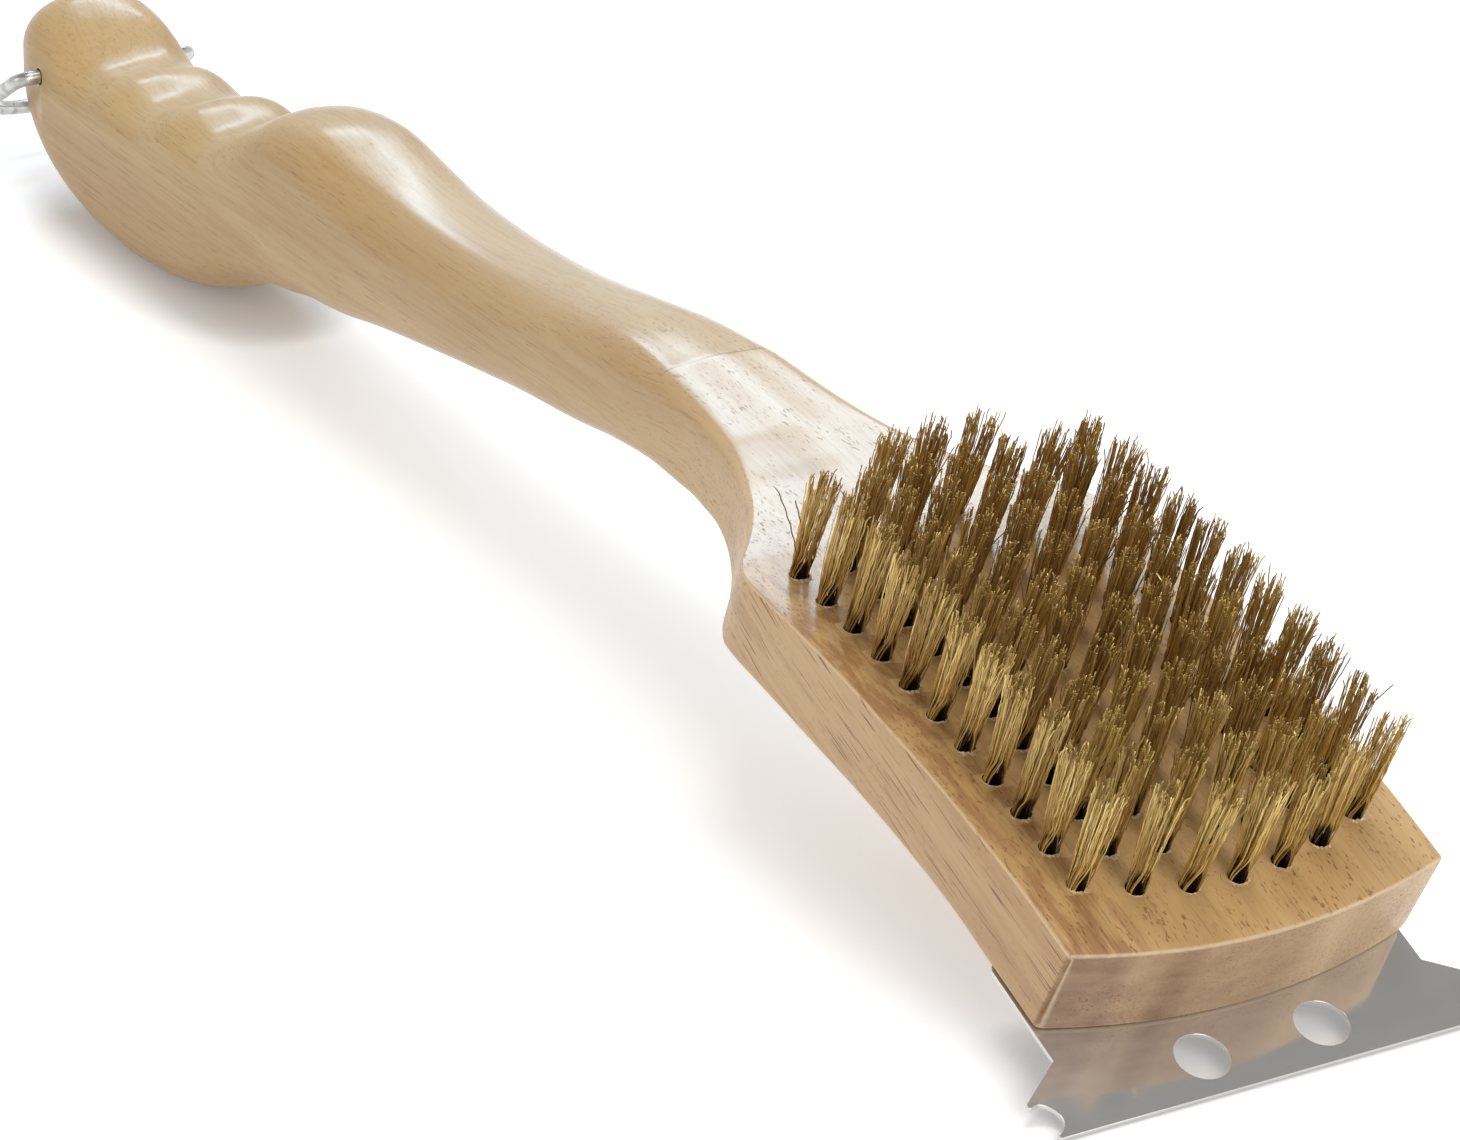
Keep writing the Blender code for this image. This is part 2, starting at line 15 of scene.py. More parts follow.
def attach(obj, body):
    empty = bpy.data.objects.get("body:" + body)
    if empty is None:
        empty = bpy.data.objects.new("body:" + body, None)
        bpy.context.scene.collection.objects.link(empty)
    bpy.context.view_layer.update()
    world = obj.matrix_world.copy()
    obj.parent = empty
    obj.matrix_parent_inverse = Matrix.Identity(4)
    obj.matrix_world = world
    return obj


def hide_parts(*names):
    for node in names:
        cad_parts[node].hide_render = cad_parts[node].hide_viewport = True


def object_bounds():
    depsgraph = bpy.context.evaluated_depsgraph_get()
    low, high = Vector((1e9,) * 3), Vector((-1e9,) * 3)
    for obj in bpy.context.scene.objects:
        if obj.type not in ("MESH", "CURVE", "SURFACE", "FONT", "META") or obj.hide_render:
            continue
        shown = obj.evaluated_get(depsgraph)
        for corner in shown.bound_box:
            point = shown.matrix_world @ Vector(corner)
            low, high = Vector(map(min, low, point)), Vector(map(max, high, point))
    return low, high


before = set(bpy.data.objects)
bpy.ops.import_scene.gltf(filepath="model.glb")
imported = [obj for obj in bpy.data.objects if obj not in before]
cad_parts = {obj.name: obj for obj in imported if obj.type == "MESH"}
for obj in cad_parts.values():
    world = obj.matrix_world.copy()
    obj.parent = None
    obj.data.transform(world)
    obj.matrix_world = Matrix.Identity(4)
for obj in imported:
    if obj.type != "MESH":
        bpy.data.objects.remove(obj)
cad_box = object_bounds()

# Sizes of the solids, but for HEAD_TOP_EDGE and HEAD_FACE_EDGE, which are sharper here
GAP = 0.0003
HEAD_TILT = math.radians(21.1)
HEAD_HALF_WIDTH = 0.0376
NECK_HALF_WIDTH = 0.0169
HEAD_THICKNESS = 0.0204
HEAD_FRONT_BOW = 0.0060
HEAD_FACE_LEAN = 0.0025
HEAD_BOW_FADE = 0.034
HEAD_TOP_EDGE = 0.0007
HEAD_BOTTOM_EDGE = 0.0020
HEAD_FACE_EDGE = 0.0007
HEAD_SECTIONS = (
    (0.000, 0.0000, 0.0000, 0.000),
    (0.020, 0.0002, 0.0000, 0.000),
    (0.036, 0.0012, 0.0000, 0.000),
    (0.050, 0.0026, 0.0011, 0.000),
    (0.065, 0.0049, 0.0031, 0.000),
    (0.080, 0.0074, 0.0058, 0.000),
    (0.095, 0.0106, 0.0086, 0.000),
    (0.108, 0.0136, 0.0111, 0.000),
    (0.113, 0.0148, 0.0121, 0.020),
    (0.118, 0.0160, 0.0132, 0.138),
    (0.122, 0.0171, 0.0141, 0.296),
    (0.126, 0.0182, 0.0151, 0.438),
    (0.132, 0.0199, 0.0168, 0.621),
    (0.139, 0.0220, 0.0186, 0.783),
    (0.146, 0.0238, 0.0207, 0.906),
    (0.153, 0.0256, 0.0235, 1.000),
)
NECK_EDGE_START = 0.118
NECK_TOP_EDGE = 0.0032
NECK_BOTTOM_EDGE = 0.0042
GRIP_SECTIONS = (
    (0.016, 0.0590, 0.0390, 0.0147, 0.0042),
    (0.027, 0.0594, 0.0390, 0.0145, 0.0052),
    (0.031, 0.0594, 0.0387, 0.0145, 0.0060),
    (0.045, 0.0593, 0.0370, 0.0144, 0.0076),
    (0.065, 0.0572, 0.0338, 0.0143, 0.0090),
    (0.085, 0.0545, 0.0316, 0.0143, 0.0098),
    (0.107, 0.0526, 0.0288, 0.0147, 0.0103),
    (0.129, 0.0521, 0.0258, 0.0152, 0.0108),
    (0.145, 0.0528, 0.0235, 0.0156, 0.0110),
    (0.161, 0.0548, 0.0207, 0.0159, 0.0110),
    (0.173, 0.0565, 0.0194, 0.0160, 0.0110),
    (0.186, 0.0558, 0.0170, 0.0160, 0.0110),
    (0.194, 0.0540, 0.0155, 0.0160, 0.0110),
    (0.200, 0.0512, 0.0140, 0.0161, 0.0110),
    (0.206, 0.0480, 0.0118, 0.0162, 0.0110),
    (0.212, 0.0455, 0.0090, 0.0163, 0.0108),
    (0.224, 0.0434, 0.0048, 0.0165, 0.0105),
    (0.238, 0.0418, 0.0017, 0.0165, 0.0105),
    (0.250, 0.0405, 0.0004, 0.0165, 0.0105),
    (0.261, 0.0390, 0.0000, 0.0165, 0.0105),
    (0.272, 0.0388, 0.0006, 0.0165, 0.0105),
    (0.283, 0.0400, 0.0023, 0.0165, 0.0108),
    (0.293, 0.0424, 0.0052, 0.0164, 0.0110),
    (0.302, 0.0446, 0.0096, 0.0158, 0.0110),
    (0.309, 0.0436, 0.0156, 0.0144, 0.0100),
    (0.314, 0.0402, 0.0222, 0.0115, 0.0080),
    (0.316, 0.0362, 0.0275, 0.0070, 0.0040),
)
FINGER_PITCH = 0.0300
FINGER_FIRST_GROOVE = 0.2210
FINGER_COUNT = 3
FINGER_DEPTH = 0.0030
SCRAPER_THICKNESS = 0.0010
SCRAPER_REACH = 0.0135
SCRAPER_SEAT = 0.0245
SCRAPER_SIDE_INSET = 0.0004
SCRAPER_FLARE_START = 0.0151
SCRAPER_TIP_OUT = 0.0094
SCRAPER_TIP_BACK = 0.0090
SCRAPER_TIP_ROUND = 0.0006
SCRAPER_CORNER_OUT = 0.0076
SCRAPER_REAR_ROUND = 0.0030
ROD_NOTCH_RADIUS = 0.0036
ROD_NOTCH_OUT = 0.0086
ROD_NOTCH_BACK = 0.0041
BLADE_HOLE_RADIUS = 0.0049
BLADE_HOLE_SPACING = 0.0241
BLADE_HOLE_BACK = 0.0080
SCREW_COUNT = 3
SCREW_SPACING = 0.0230
SCREW_BACK = 0.0300
SCREW_SHANK_RADIUS = 0.0016
SCREW_LENGTH = 0.0120
SCREW_POINT = 0.0030
SCREW_HEAD_RADIUS = 0.0034
SCREW_HEAD_HEIGHT = 0.0020
SCREW_SLOT_WIDTH = 0.0010
SCREW_SLOT_DEPTH = 0.0009
SCREW_SLOT_TURN = math.radians(50)
FULL_ROWS = 11
TUFT_COLUMNS = 7
END_ROW_COLUMNS = 3
ROW_PITCH = 0.00957
COLUMN_PITCH = 0.00925
FIRST_ROW = 0.0130
FIRST_ROW_BOW = 0.0067
LAST_ROW_BOW = 0.0013
TUFT_LENGTH = 0.0223
BAIL_WIRE_RADIUS = 0.0016
BAIL_CLEARANCE = 0.0003
BAIL_PIVOT_FROM_END = 0.0190
BAIL_PIVOT_HEIGHT = 0.0306
BAIL_LENGTH = 0.0340
BAIL_SLOPE = math.radians(32)
BAIL_SIDE_CLEARANCE = 0.0030
BAIL_PIN_LENGTH = 0.0110
BAIL_ELBOW_RADIUS = 0.0032
BAIL_CORNER_RADIUS = 0.0180

# Fineness of the shapes, and the start of the random draws
STATION_STEP = 0.0015
EDGE_CORNERS = 9
EDGE_LIMIT = 0.98
FLAT_STRIPS = 12
FACE_ROUNDING_STEPS = 6
NOTCH_STEPS = 24
TIP_STEPS = 8
REAR_STEPS = 10
ELBOW_STEPS = 14
CORNER_STEPS = 24
TUFT_HOLE_SIDES = 28
BORE_SIDES = 40
RIM_SIDES = 40
BLADE_HOLE_SIDES = 72
SCREW_HOLE_SIDES = 32
SCREW_SIDES = 48
SCREW_DOME_STEPS = 10
WIRE_SIDES = 4
WIRE_STEPS = 38
SEED = 20261126

# Drilled holes with torn rims, and the eased edges of the metal; angles are in degrees
TUFT_HOLE_RADIUS = 0.00188
TUFT_HOLE_DEPTH = 0.0070
BORE_LENGTH = 0.1
RIM_LEAST_WIDTH = 0.00005
RIM_WIDTH = 0.00085
RIM_ROUGHNESS = 0.00008
RIM_LEAST_LIFT = 0.00004
RIM_LIFT = 0.00040
RIM_LEAST_INWARD = 0.00002
RIM_INWARD = 0.00030
RIM_RISE = 0.00002
NOTCH_END = 105
TIP_START = -80
BLADE_EDGE_EASE = 0.00012
SCREW_EDGE_EASE = 0.0001
SCREW_RIM_SHARE = 0.3

# Fold across the top of the neck, in the lying frame: its place at the middle, how far
# one side of it is ahead of the middle, the top's height there and the rise up to it;
# its line is dark within the first distance and gone at the second, on the top alone
CREASE_PLACE = 0.18875
CREASE_SLANT = 0.00075
CREASE_TOP = 0.0594
CREASE_RISE = 0.093
CREASE_REACH = 0.010
CREASE_LINE = (0.00008, 0.00032)
CREASE_LINE_DEPTHS = (0.0012, 0.0006)

# Slope by which the blade leans down in front of the wood, in its shading alone
BLADE_LEAN = 0.09

# Grain: where it turns from the head's direction to the handle's, and its step there
GRAIN_TURN_START = 0.100
GRAIN_TURN_LENGTH = 0.090
GRAIN_STEP = 0.055

# Brown wood across the head: the middles of two bands and how far from them each is full and
# gone, and the same places of a painted shade on the front face that fades to the right
HEART_PLACE = -0.0335
HEART_BAND = (0.0045, 0.0150)
SECOND_BAND_PLACE = -0.016
SECOND_BAND = (0.000, 0.011)
FAINT_PAINTED_SHADE = (0.004, 0.020)

# Depths of relief in the shading
FIBRE_RELIEF = 0.00005
LACQUER_RELIEF = 0.0004
TORN_RELIEF = 0.0002
ROLLING_RELIEF = 0.000003
PIT_RELIEF = 0.00002

# Wear and a painted highlight of the rounded edges: full up to here along the body, gone after a
# further length
WEAR_AND_HIGHLIGHT_FADE_START = 0.10
WEAR_AND_HIGHLIGHT_FADE_LENGTH = 0.09

# Slight crown across the top of the handle
CROWN_HEIGHT = 0.0007
CROWN_WIDTH = 0.0056

# Wires: number and size, the depth of their feet, and how far lengths and places scatter
WIRES_PER_TUFT = 78
WIRE_RADIUS = 0.000125
WIRE_FOOT = -0.0030
WIRE_LENGTH_SPREAD = 0.0008
SHORT_WIRES = 0.20
SHORT_WIRE_CHANGE = (-0.0045, 0.0012)
WIRE_MOST_OVER = 0.0014
CRIMP_LENGTHS = (0.0034, 0.0044)
CRIMP_SIZES = (0.00003, 0.00009)
WIRE_SPREAD = 0.00028
HOOK_START = 0.93
HOOK_SPREAD = 0.00018

# Reach and turn of stray tips, and of the two long wires at the left of the last full row
STRAY_REACH = (0.0034, 0.0050)
LONG_STRAYS = [(0.0092, math.radians(178)), (0.0064, math.radians(181))]

# Shares of the colours that tell tufts and wires apart, and of the painted shade of the rear rows
TUFT_TONE = 0.30
WIRE_TONE = 0.85
WIRE_SHADE = 0.25
ROW_PAINTED_SHADE = 0.022
MOST_SHADE = 0.80

# Painted shade with soot up to a height at the foot of a tuft, where its outermost wires have
# little; an even darkening of stray wires; soot on the tips of those that don't have clean ones
SOOT_AND_SHADE_TOP = 0.0054
SOOT_AND_SHADE_FADE = 0.0018
OUTER_WIRES = 0.92
OUTER_FADE = 0.2
OUTER_SOOT_AND_SHADE = 0.08
STRAY_DARKENING = 0.6
CLEAN_TIPS = 0.60
TIP_SOOT = 0.4
TIP_SOOT_LENGTH = 0.0022

# Form of a tuft: its foot is open at the front, closes higher up, and its tips clump
TUFT_TURN = math.radians(-104)
TUFT_OPENING = math.radians(40)
OPENING_SHARES = (0.75, 1.15)
TUFT_CLOSED_AT = 0.0068
TUFT_BASE_RADIUS = 0.00175
TUFT_TIP_RADIUS = 0.00310
TUFT_LEAN = 0.0004
TUFT_TURN_SPREAD = math.radians(9)
CLUMPS_PER_TUFT = 14
CLUMP_PULL = 0.5

# Floor: its reach, its colour, and how its glow grows where nothing is near, which paints a
# contact shadow close to the object
FLOOR_REACH = 6
FLOOR_DROP = 0.0001
FLOOR_TONE = 0.84
CONTACT_SHADOW_REACH = 0.014
CONTACT_SHADOW_OPEN = 0.60
FLOOR_GLOW = (0.15, 0.42)

# World: its light on the object, and what the camera and reflections see of it, which
# darkens between two heights of the line of sight
AMBIENT = 0.58
CEILING_HEIGHTS = (0.50, 0.82)
CEILING_GLOW = (1.0, 0.36)

# Lamps: name, place, target, width, height, power and colour
PLAIN = (1, 1, 1)
COOL = (0.58, 0.80, 1.0)
LAMPS = (
    ("key_softbox", (0.69, 1.19, 1.20), (0, 0, 0.03), 0.9, 0.75, 6.0, COOL),
    ("low_strip", (0.75, 1.29, 1.04), (0, 0, 0.03), 0.9, 0.14, 3.8, COOL),
    ("top_softbox", (0.15, -0.15, 1.8), (0, 0, 0), 0.7, 0.7, 8, PLAIN),
    ("front_fill", (0.0, -1.9, 1.0), (0, -0.1, 0.03), 1.2, 1.0, 15, PLAIN),
    ("side_fill", (-1.8, 0.3, 0.9), (0, 0, 0.03), 1.0, 0.8, 4, PLAIN),
)

# Camera, fitted to the photograph: lens and sensor in millimetres, place, turns in degrees
CAMERA_LENS = 147.945
CAMERA_SENSOR = 36
CAMERA_FAR = 50
CAMERA_PLACE = (-0.526082, -0.938488, 0.484817)
CAMERA_TURNS = (65.48357, -1.24636, -30.38668)


def smooth_curve(xs, ys, x):
    """Value at x of a smooth curve through the points that never overshoots them."""
    xs = np.asarray(xs, float)
    ys = np.asarray(ys, float)
    steps = np.diff(xs)
    slopes = np.diff(ys) / steps
    tangents = np.zeros(len(xs))
    tangents[0] = slopes[0]
    tangents[-1] = slopes[-1]
    for i in range(1, len(xs) - 1):
        if slopes[i - 1] * slopes[i] > 0:
            before = 2 * steps[i] + steps[i - 1]
            after = steps[i] + 2 * steps[i - 1]
            tangents[i] = (before + after) / (before / slopes[i - 1] + after / slopes[i])
    x = min(max(x, xs[0]), xs[-1])
    i = min(int(np.searchsorted(xs, x, side="right")) - 1, len(xs) - 2)
    h = steps[i]
    u = (x - xs[i]) / h
    return float(
        ys[i] * (1 + 2 * u) * (1 - u) ** 2
        + tangents[i] * h * u * (1 - u) ** 2
        + ys[i + 1] * u * u * (3 - 2 * u)
        + tangents[i + 1] * h * u * u * (u - 1)
    )


def between(start, end, share):
    """Value a share of the way from one value to another."""
    return start + (end - start) * share


def head_point(x, y, z):
    """Point of the head frame in the lying frame."""
    return Vector((
        x,
        y * math.cos(HEAD_TILT) - z * math.sin(HEAD_TILT),
        y * math.sin(HEAD_TILT) + z * math.cos(HEAD_TILT),
    ))


UNDERSIDE = SCRAPER_THICKNESS + GAP
HEAD_TOP = UNDERSIDE + HEAD_THICKNESS


def top_height(back):
    """Height of the head's top in the head frame, back metres behind its front face."""
    backs, drops, _, _ = zip(*HEAD_SECTIONS)
    return HEAD_TOP - smooth_curve(backs, drops, back)


def head_stations():
    """Key sections of the head and neck: centre, tilt, half height, half width, edges."""
    keys = []
    for back, top_drop, under_drop, narrowing in HEAD_SECTIONS:
        top = HEAD_TOP - top_drop
        under = UNDERSIDE - under_drop
        centre = head_point(0, SCRAPER_REACH + back, (top + under) / 2)
        share = max(0.0, back - NECK_EDGE_START) / (HEAD_SECTIONS[-1][0] - NECK_EDGE_START)
        keys.append((
            centre.y, centre.z, HEAD_TILT, (top - under) / 2,
            between(HEAD_HALF_WIDTH, NECK_HALF_WIDTH, narrowing),
            between(HEAD_TOP_EDGE, NECK_TOP_EDGE, share),
            between(HEAD_BOTTOM_EDGE, NECK_BOTTOM_EDGE, share),
        ))
    return keys


NECK_END = head_stations()[-1][0]


def grip_stations():
    """Key sections of the handle, in the same form."""
    return [(NECK_END + back, (top + under) / 2, 0.0, (top - under) / 2, half_width, edge, edge)
            for back, top, under, half_width, edge in GRIP_SECTIONS]


def finger_drop(y):
    """How far the finger grooves take the handle's top down at y in the lying frame."""
    turns = (y - NECK_END - FINGER_FIRST_GROOVE) / FINGER_PITCH
    if turns < -0.5 or turns > FINGER_COUNT - 0.5:
        return 0.0
    return FINGER_DEPTH * (0.5 + 0.5 * math.cos(2 * math.pi * turns))


def crease_drop(x, y, z):
    """How far a top point (x, y, z) lies above the plane that rises to the fold."""
    place = CREASE_PLACE + CREASE_SLANT * x / NECK_HALF_WIDTH
    if y >= place:
        return 0.0
    return max(0.0, z - CREASE_TOP + CREASE_RISE * (place - y))


def section_loop(half_width, half_height, top_edge, bottom_edge, drop):
    """Closed rounded rectangle as (x, z, edge share, side share), from the right over the top."""
    limit = min(half_width, half_height) * EDGE_LIMIT
    halves = []
    for edge, sign, lower in ((min(top_edge, limit), 1, drop), (min(bottom_edge, limit), -1, 0.0)):
        flat = half_width - edge
        corners = []
        for start, middle in ((0, flat), (90, -flat)):
            turns = [math.radians(start + 90 * i / EDGE_CORNERS) for i in range(EDGE_CORNERS + 1)]
            corners.append([
                (middle + edge * math.cos(a), half_height - edge + edge * math.sin(a),
                 abs(math.sin(2 * a)), math.cos(a) ** 2) for a in turns
            ])
        strips = [(flat * (1 - 2 * i / FLAT_STRIPS), half_height, 0.0, 0.0)
                  for i in range(1, FLAT_STRIPS)]
        half = corners[0] + strips + corners[1]
        halves.append([(x, sign * z - lower * max(0.0, z) / half_height, w, side)
                       for x, z, w, side in half])
    return halves[0] + halves[1][::-1]


def bail_pivot():
    """Axis of the bail in the lying frame."""
    end = NECK_END + GRIP_SECTIONS[-1][0]
    return Vector((0, end - BAIL_PIVOT_FROM_END, BAIL_PIVOT_HEIGHT))


def footprint_centre():
    """Middle of the length, from the blade's front edge to the bail's far side."""
    front = head_point(0, 0, SCRAPER_THICKNESS).y
    rear = bail_pivot().y + BAIL_LENGTH * math.cos(BAIL_SLOPE) + BAIL_WIRE_RADIUS
    return (front + rear) / 2


LYING = Matrix.Translation((0, -footprint_centre(), 0))
HEAD = LYING @ Matrix.Rotation(HEAD_TILT, 4, "X")


def even_places(count, pitch):
    """Places across the head of a number of things, a pitch apart."""
    return [pitch * (i - (count - 1) / 2) for i in range(count)]


def column_places(row):
    """Places of a row's tufts across the head."""
    return even_places(TUFT_COLUMNS if row < FULL_ROWS else END_ROW_COLUMNS, COLUMN_PITCH)


def row_back(row, x):
    """Distance of a tuft row behind the front face, at x across the head."""
    bow = between(FIRST_ROW_BOW, LAST_ROW_BOW, row / (FULL_ROWS - 1))
    outer = column_places(0)[-1]
    return FIRST_ROW + ROW_PITCH * row + bow * (x / outer) ** 2


def tuft_roots():
    """Row, column and place in the head frame of every tuft."""
    roots = []
    for row in range(FULL_ROWS + 1):
        for column, x in enumerate(column_places(row)):
            back = row_back(row, x)
            roots.append((row, column, Vector((x, SCRAPER_REACH + back, top_height(back)))))
    return roots


def new_object(name, data, looks=()):
    """Object of a mesh, curve, lamp or camera, linked to the scene."""
    obj = bpy.data.objects.new(name, data)
    bpy.context.scene.collection.objects.link(obj)
    for look in looks:
        data.materials.append(look)
    return obj


def piece(name, mesh, looks, body, nodes):
    """Piece of the part: its materials, the body it rides on and the nodes it stands for."""
    obj = new_object(name, mesh, looks)
    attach(obj, body)
    if nodes:
        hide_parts(*nodes)


def shade_round(mesh, angle):
    """Smooth shading that keeps edges sharper than an angle in degrees."""
    mesh.shade_smooth()
    mesh.set_sharp_from_angle(angle=math.radians(angle))


def mesh_from(bm, name):
    """Mesh of a bmesh, which goes."""
    mesh = bpy.data.meshes.new(name)
    bm.to_mesh(mesh)
    bm.free()
    return mesh


def store(mesh, name, values, kind="FLOAT", field="value"):
    """Keep a value of each of the mesh's points in it, under a name."""
    layer = mesh.attributes.new(name, kind, "POINT")
    layer.data.foreach_set(field, np.asarray(values, np.float32).ravel())


def add_line(curve, points, closed=False):
    """Add a line of straight stretches through points of the curve's plane."""
    spline = curve.splines.new("POLY")
    spline.points.add(len(points) - 1)
    for point, (x, y) in zip(spline.points, points):
        point.co = (x, y, 0, 1)
    spline.use_cyclic_u = closed


def finished_mesh(obj, *tools):
    """Mesh of the object with its modifiers applied; the object and its tools go."""
    graph = bpy.context.evaluated_depsgraph_get()
    mesh = bpy.data.meshes.new_from_object(obj.evaluated_get(graph))
    for used in (obj, *tools):
        bpy.data.objects.remove(used)
    return mesh


def cut_mesh(obj, cutter, materials="INDEX"):
    """Mesh of the object with the cutter taken out of it; both objects go."""
    tool = obj.modifiers.new("cut", "BOOLEAN")
    tool.operation = "DIFFERENCE"
    tool.solver = "EXACT"
    tool.material_mode = materials
    tool.object = cutter
    return finished_mesh(obj, cutter)


# Materials


class Nodes:
    """Short way to build the node tree of a material or world."""

    def __init__(self, look, bare=False):
        self.look = look
        self.look.use_nodes = True
        self.tree = self.look.node_tree
        if bare:
            self.tree.nodes.clear()

    def add(self, kind, inputs=None, **settings):
        """New node with its settings, and with values or sockets for its inputs."""
        node = self.tree.nodes.new(kind)
        for key, value in settings.items():
            setattr(node, key, value)
        for key, value in (inputs or {}).items():
            self.feed(node.inputs[key], value)
        return node

    def feed(self, socket, value):
        """Set a socket's value, or link another socket to it."""
        if isinstance(value, bpy.types.NodeSocket):
            self.tree.links.new(value, socket)
        else:
            socket.default_value = value

    def place(self, stored=None):
        """Object coordinates, or coordinates that the mesh stores under a name."""
        if stored:
            return self.add("ShaderNodeAttribute", attribute_name=stored).outputs["Vector"]
        return self.add("ShaderNodeTexCoord").outputs["Object"]

    def axes(self, vector):
        """The three values of a vector."""
        return self.add("ShaderNodeSeparateXYZ", {"Vector": vector}).outputs

    def noise(self, scale, stored=None, detail=2.0, rough=0.5, warp=0.0):
        """Noise value, with a scale for each axis of the coordinates."""
        place = self.add("ShaderNodeMapping", {"Vector": self.place(stored), "Scale": scale})
        node = self.add("ShaderNodeTexNoise", {
            "Vector": place.outputs["Vector"], "Scale": 1.0, "Detail": detail,
            "Roughness": rough, "Distortion": warp,
        })
        return node.outputs["Fac"]

    def ramp(self, value, low, high, start=0.0, end=1.0):
        """Value taken from one range to another, with soft ends."""
        node = self.add("ShaderNodeMapRange", {
            "Value": value, "From Min": low, "From Max": high, "To Min": start, "To Max": end,
        }, interpolation_type="SMOOTHSTEP")
        return node.outputs["Result"]

    def math(self, operation, a, b=0.0, c=0.0):
        """Sum, product or the like of two or three values."""
        node = self.add("ShaderNodeMath", {0: a, 1: b, 2: c}, operation=operation)
        return node.outputs[0]

    def times(self, a, b):
        """Product of two values."""
        return self.math("MULTIPLY", a, b)

    def larger(self, a, b):
        """Larger of two values."""
        return self.math("MAXIMUM", a, b)

    def away_from(self, value, middle):
        """Distance of a value from a middle."""
        return self.math("ABSOLUTE", self.math("SUBTRACT", value, middle))

    def seen_by(self, *rays):
        """1 for rays of the kinds named, otherwise 0."""
        path = self.add("ShaderNodeLightPath")
        seen = path.outputs[rays[0]]
        for ray in rays[1:]:
            seen = self.larger(seen, path.outputs[ray])
        return seen

    def mix(self, share, a, b):
        """Mix of two colours."""
        node = self.add("ShaderNodeMix", data_type="RGBA")
        self.feed(node.inputs[0], share)
        for socket, value in ((node.inputs[6], a), (node.inputs[7], b)):
            self.feed(socket, value if isinstance(value, bpy.types.NodeSocket) else (*value, 1))
        return node.outputs[2]

    def attribute(self, name):
        """Value that the mesh stores under a name."""
        return self.add("ShaderNodeAttribute", attribute_name=name).outputs["Fac"]

    def bump(self, height, distance, strength=1.0):
        """Normal with the height's relief, at a distance in metres."""
        node = self.add("ShaderNodeBump", {
            "Height": height, "Distance": distance, "Strength": strength,
        })
        return node.outputs["Normal"]

    def finish(self, **inputs):
        """Feed the shader's sockets, named with underscores, and return the material."""
        shader = self.tree.nodes["Principled BSDF"]
        for key, value in inputs.items():
            self.feed(shader.inputs[key.replace("_", " ")], value)
        return self.look


def material(name, bare=False):
    """Nodes of a new material."""
    return Nodes(bpy.data.materials.new(name), bare)


def srgb(red, green, blue):
    """Linear colour of an 8-bit display colour."""
    return tuple(
        c / 255 / 12.92 if c <= 10 else ((c / 255 + 0.055) / 1.055) ** 2.4
        for c in (red, green, blue)
    )


def crease_line(n):
    """Thin line along the fold across the neck."""
    x, y, z = n.axes(n.place())
    away = n.math("SUBTRACT", y, n.times(x, CREASE_SLANT / NECK_HALF_WIDTH))
    line = n.ramp(n.away_from(away, CREASE_PLACE - footprint_centre()), *CREASE_LINE, 1.0, 0.0)
    top = n.ramp(z, *(CREASE_TOP - depth for depth in CREASE_LINE_DEPTHS))
    return n.times(line, top)


def end_wood_tone(n, heart, across):
    """Colour of the head's front face, with brown bands and a painted shade that fades to the
    right.
    """
    bands = n.noise((75, 1, 30), "grain", detail=1.0, warp=0.5)
    bands = n.ramp(bands, 0.40, 0.72, 0.0, 0.35)
    bands = n.larger(bands, n.times(heart, 0.95))
    second = n.ramp(n.away_from(across, SECOND_BAND_PLACE), *SECOND_BAND, 0.90, 0.0)
    bands = n.larger(bands, second)
    # Painted shade: browner over the left of the front face, fading out to the right
    bands = n.larger(bands, n.ramp(across, *FAINT_PAINTED_SHADE, 0.62, 0.0))
    mottled = n.ramp(n.noise((150, 60, 260), "grain"), 0.3, 0.7, 0.78, 1.0)
    bands = n.times(bands, mottled)
    return n.mix(bands, srgb(222, 190, 149), srgb(118, 80, 50))


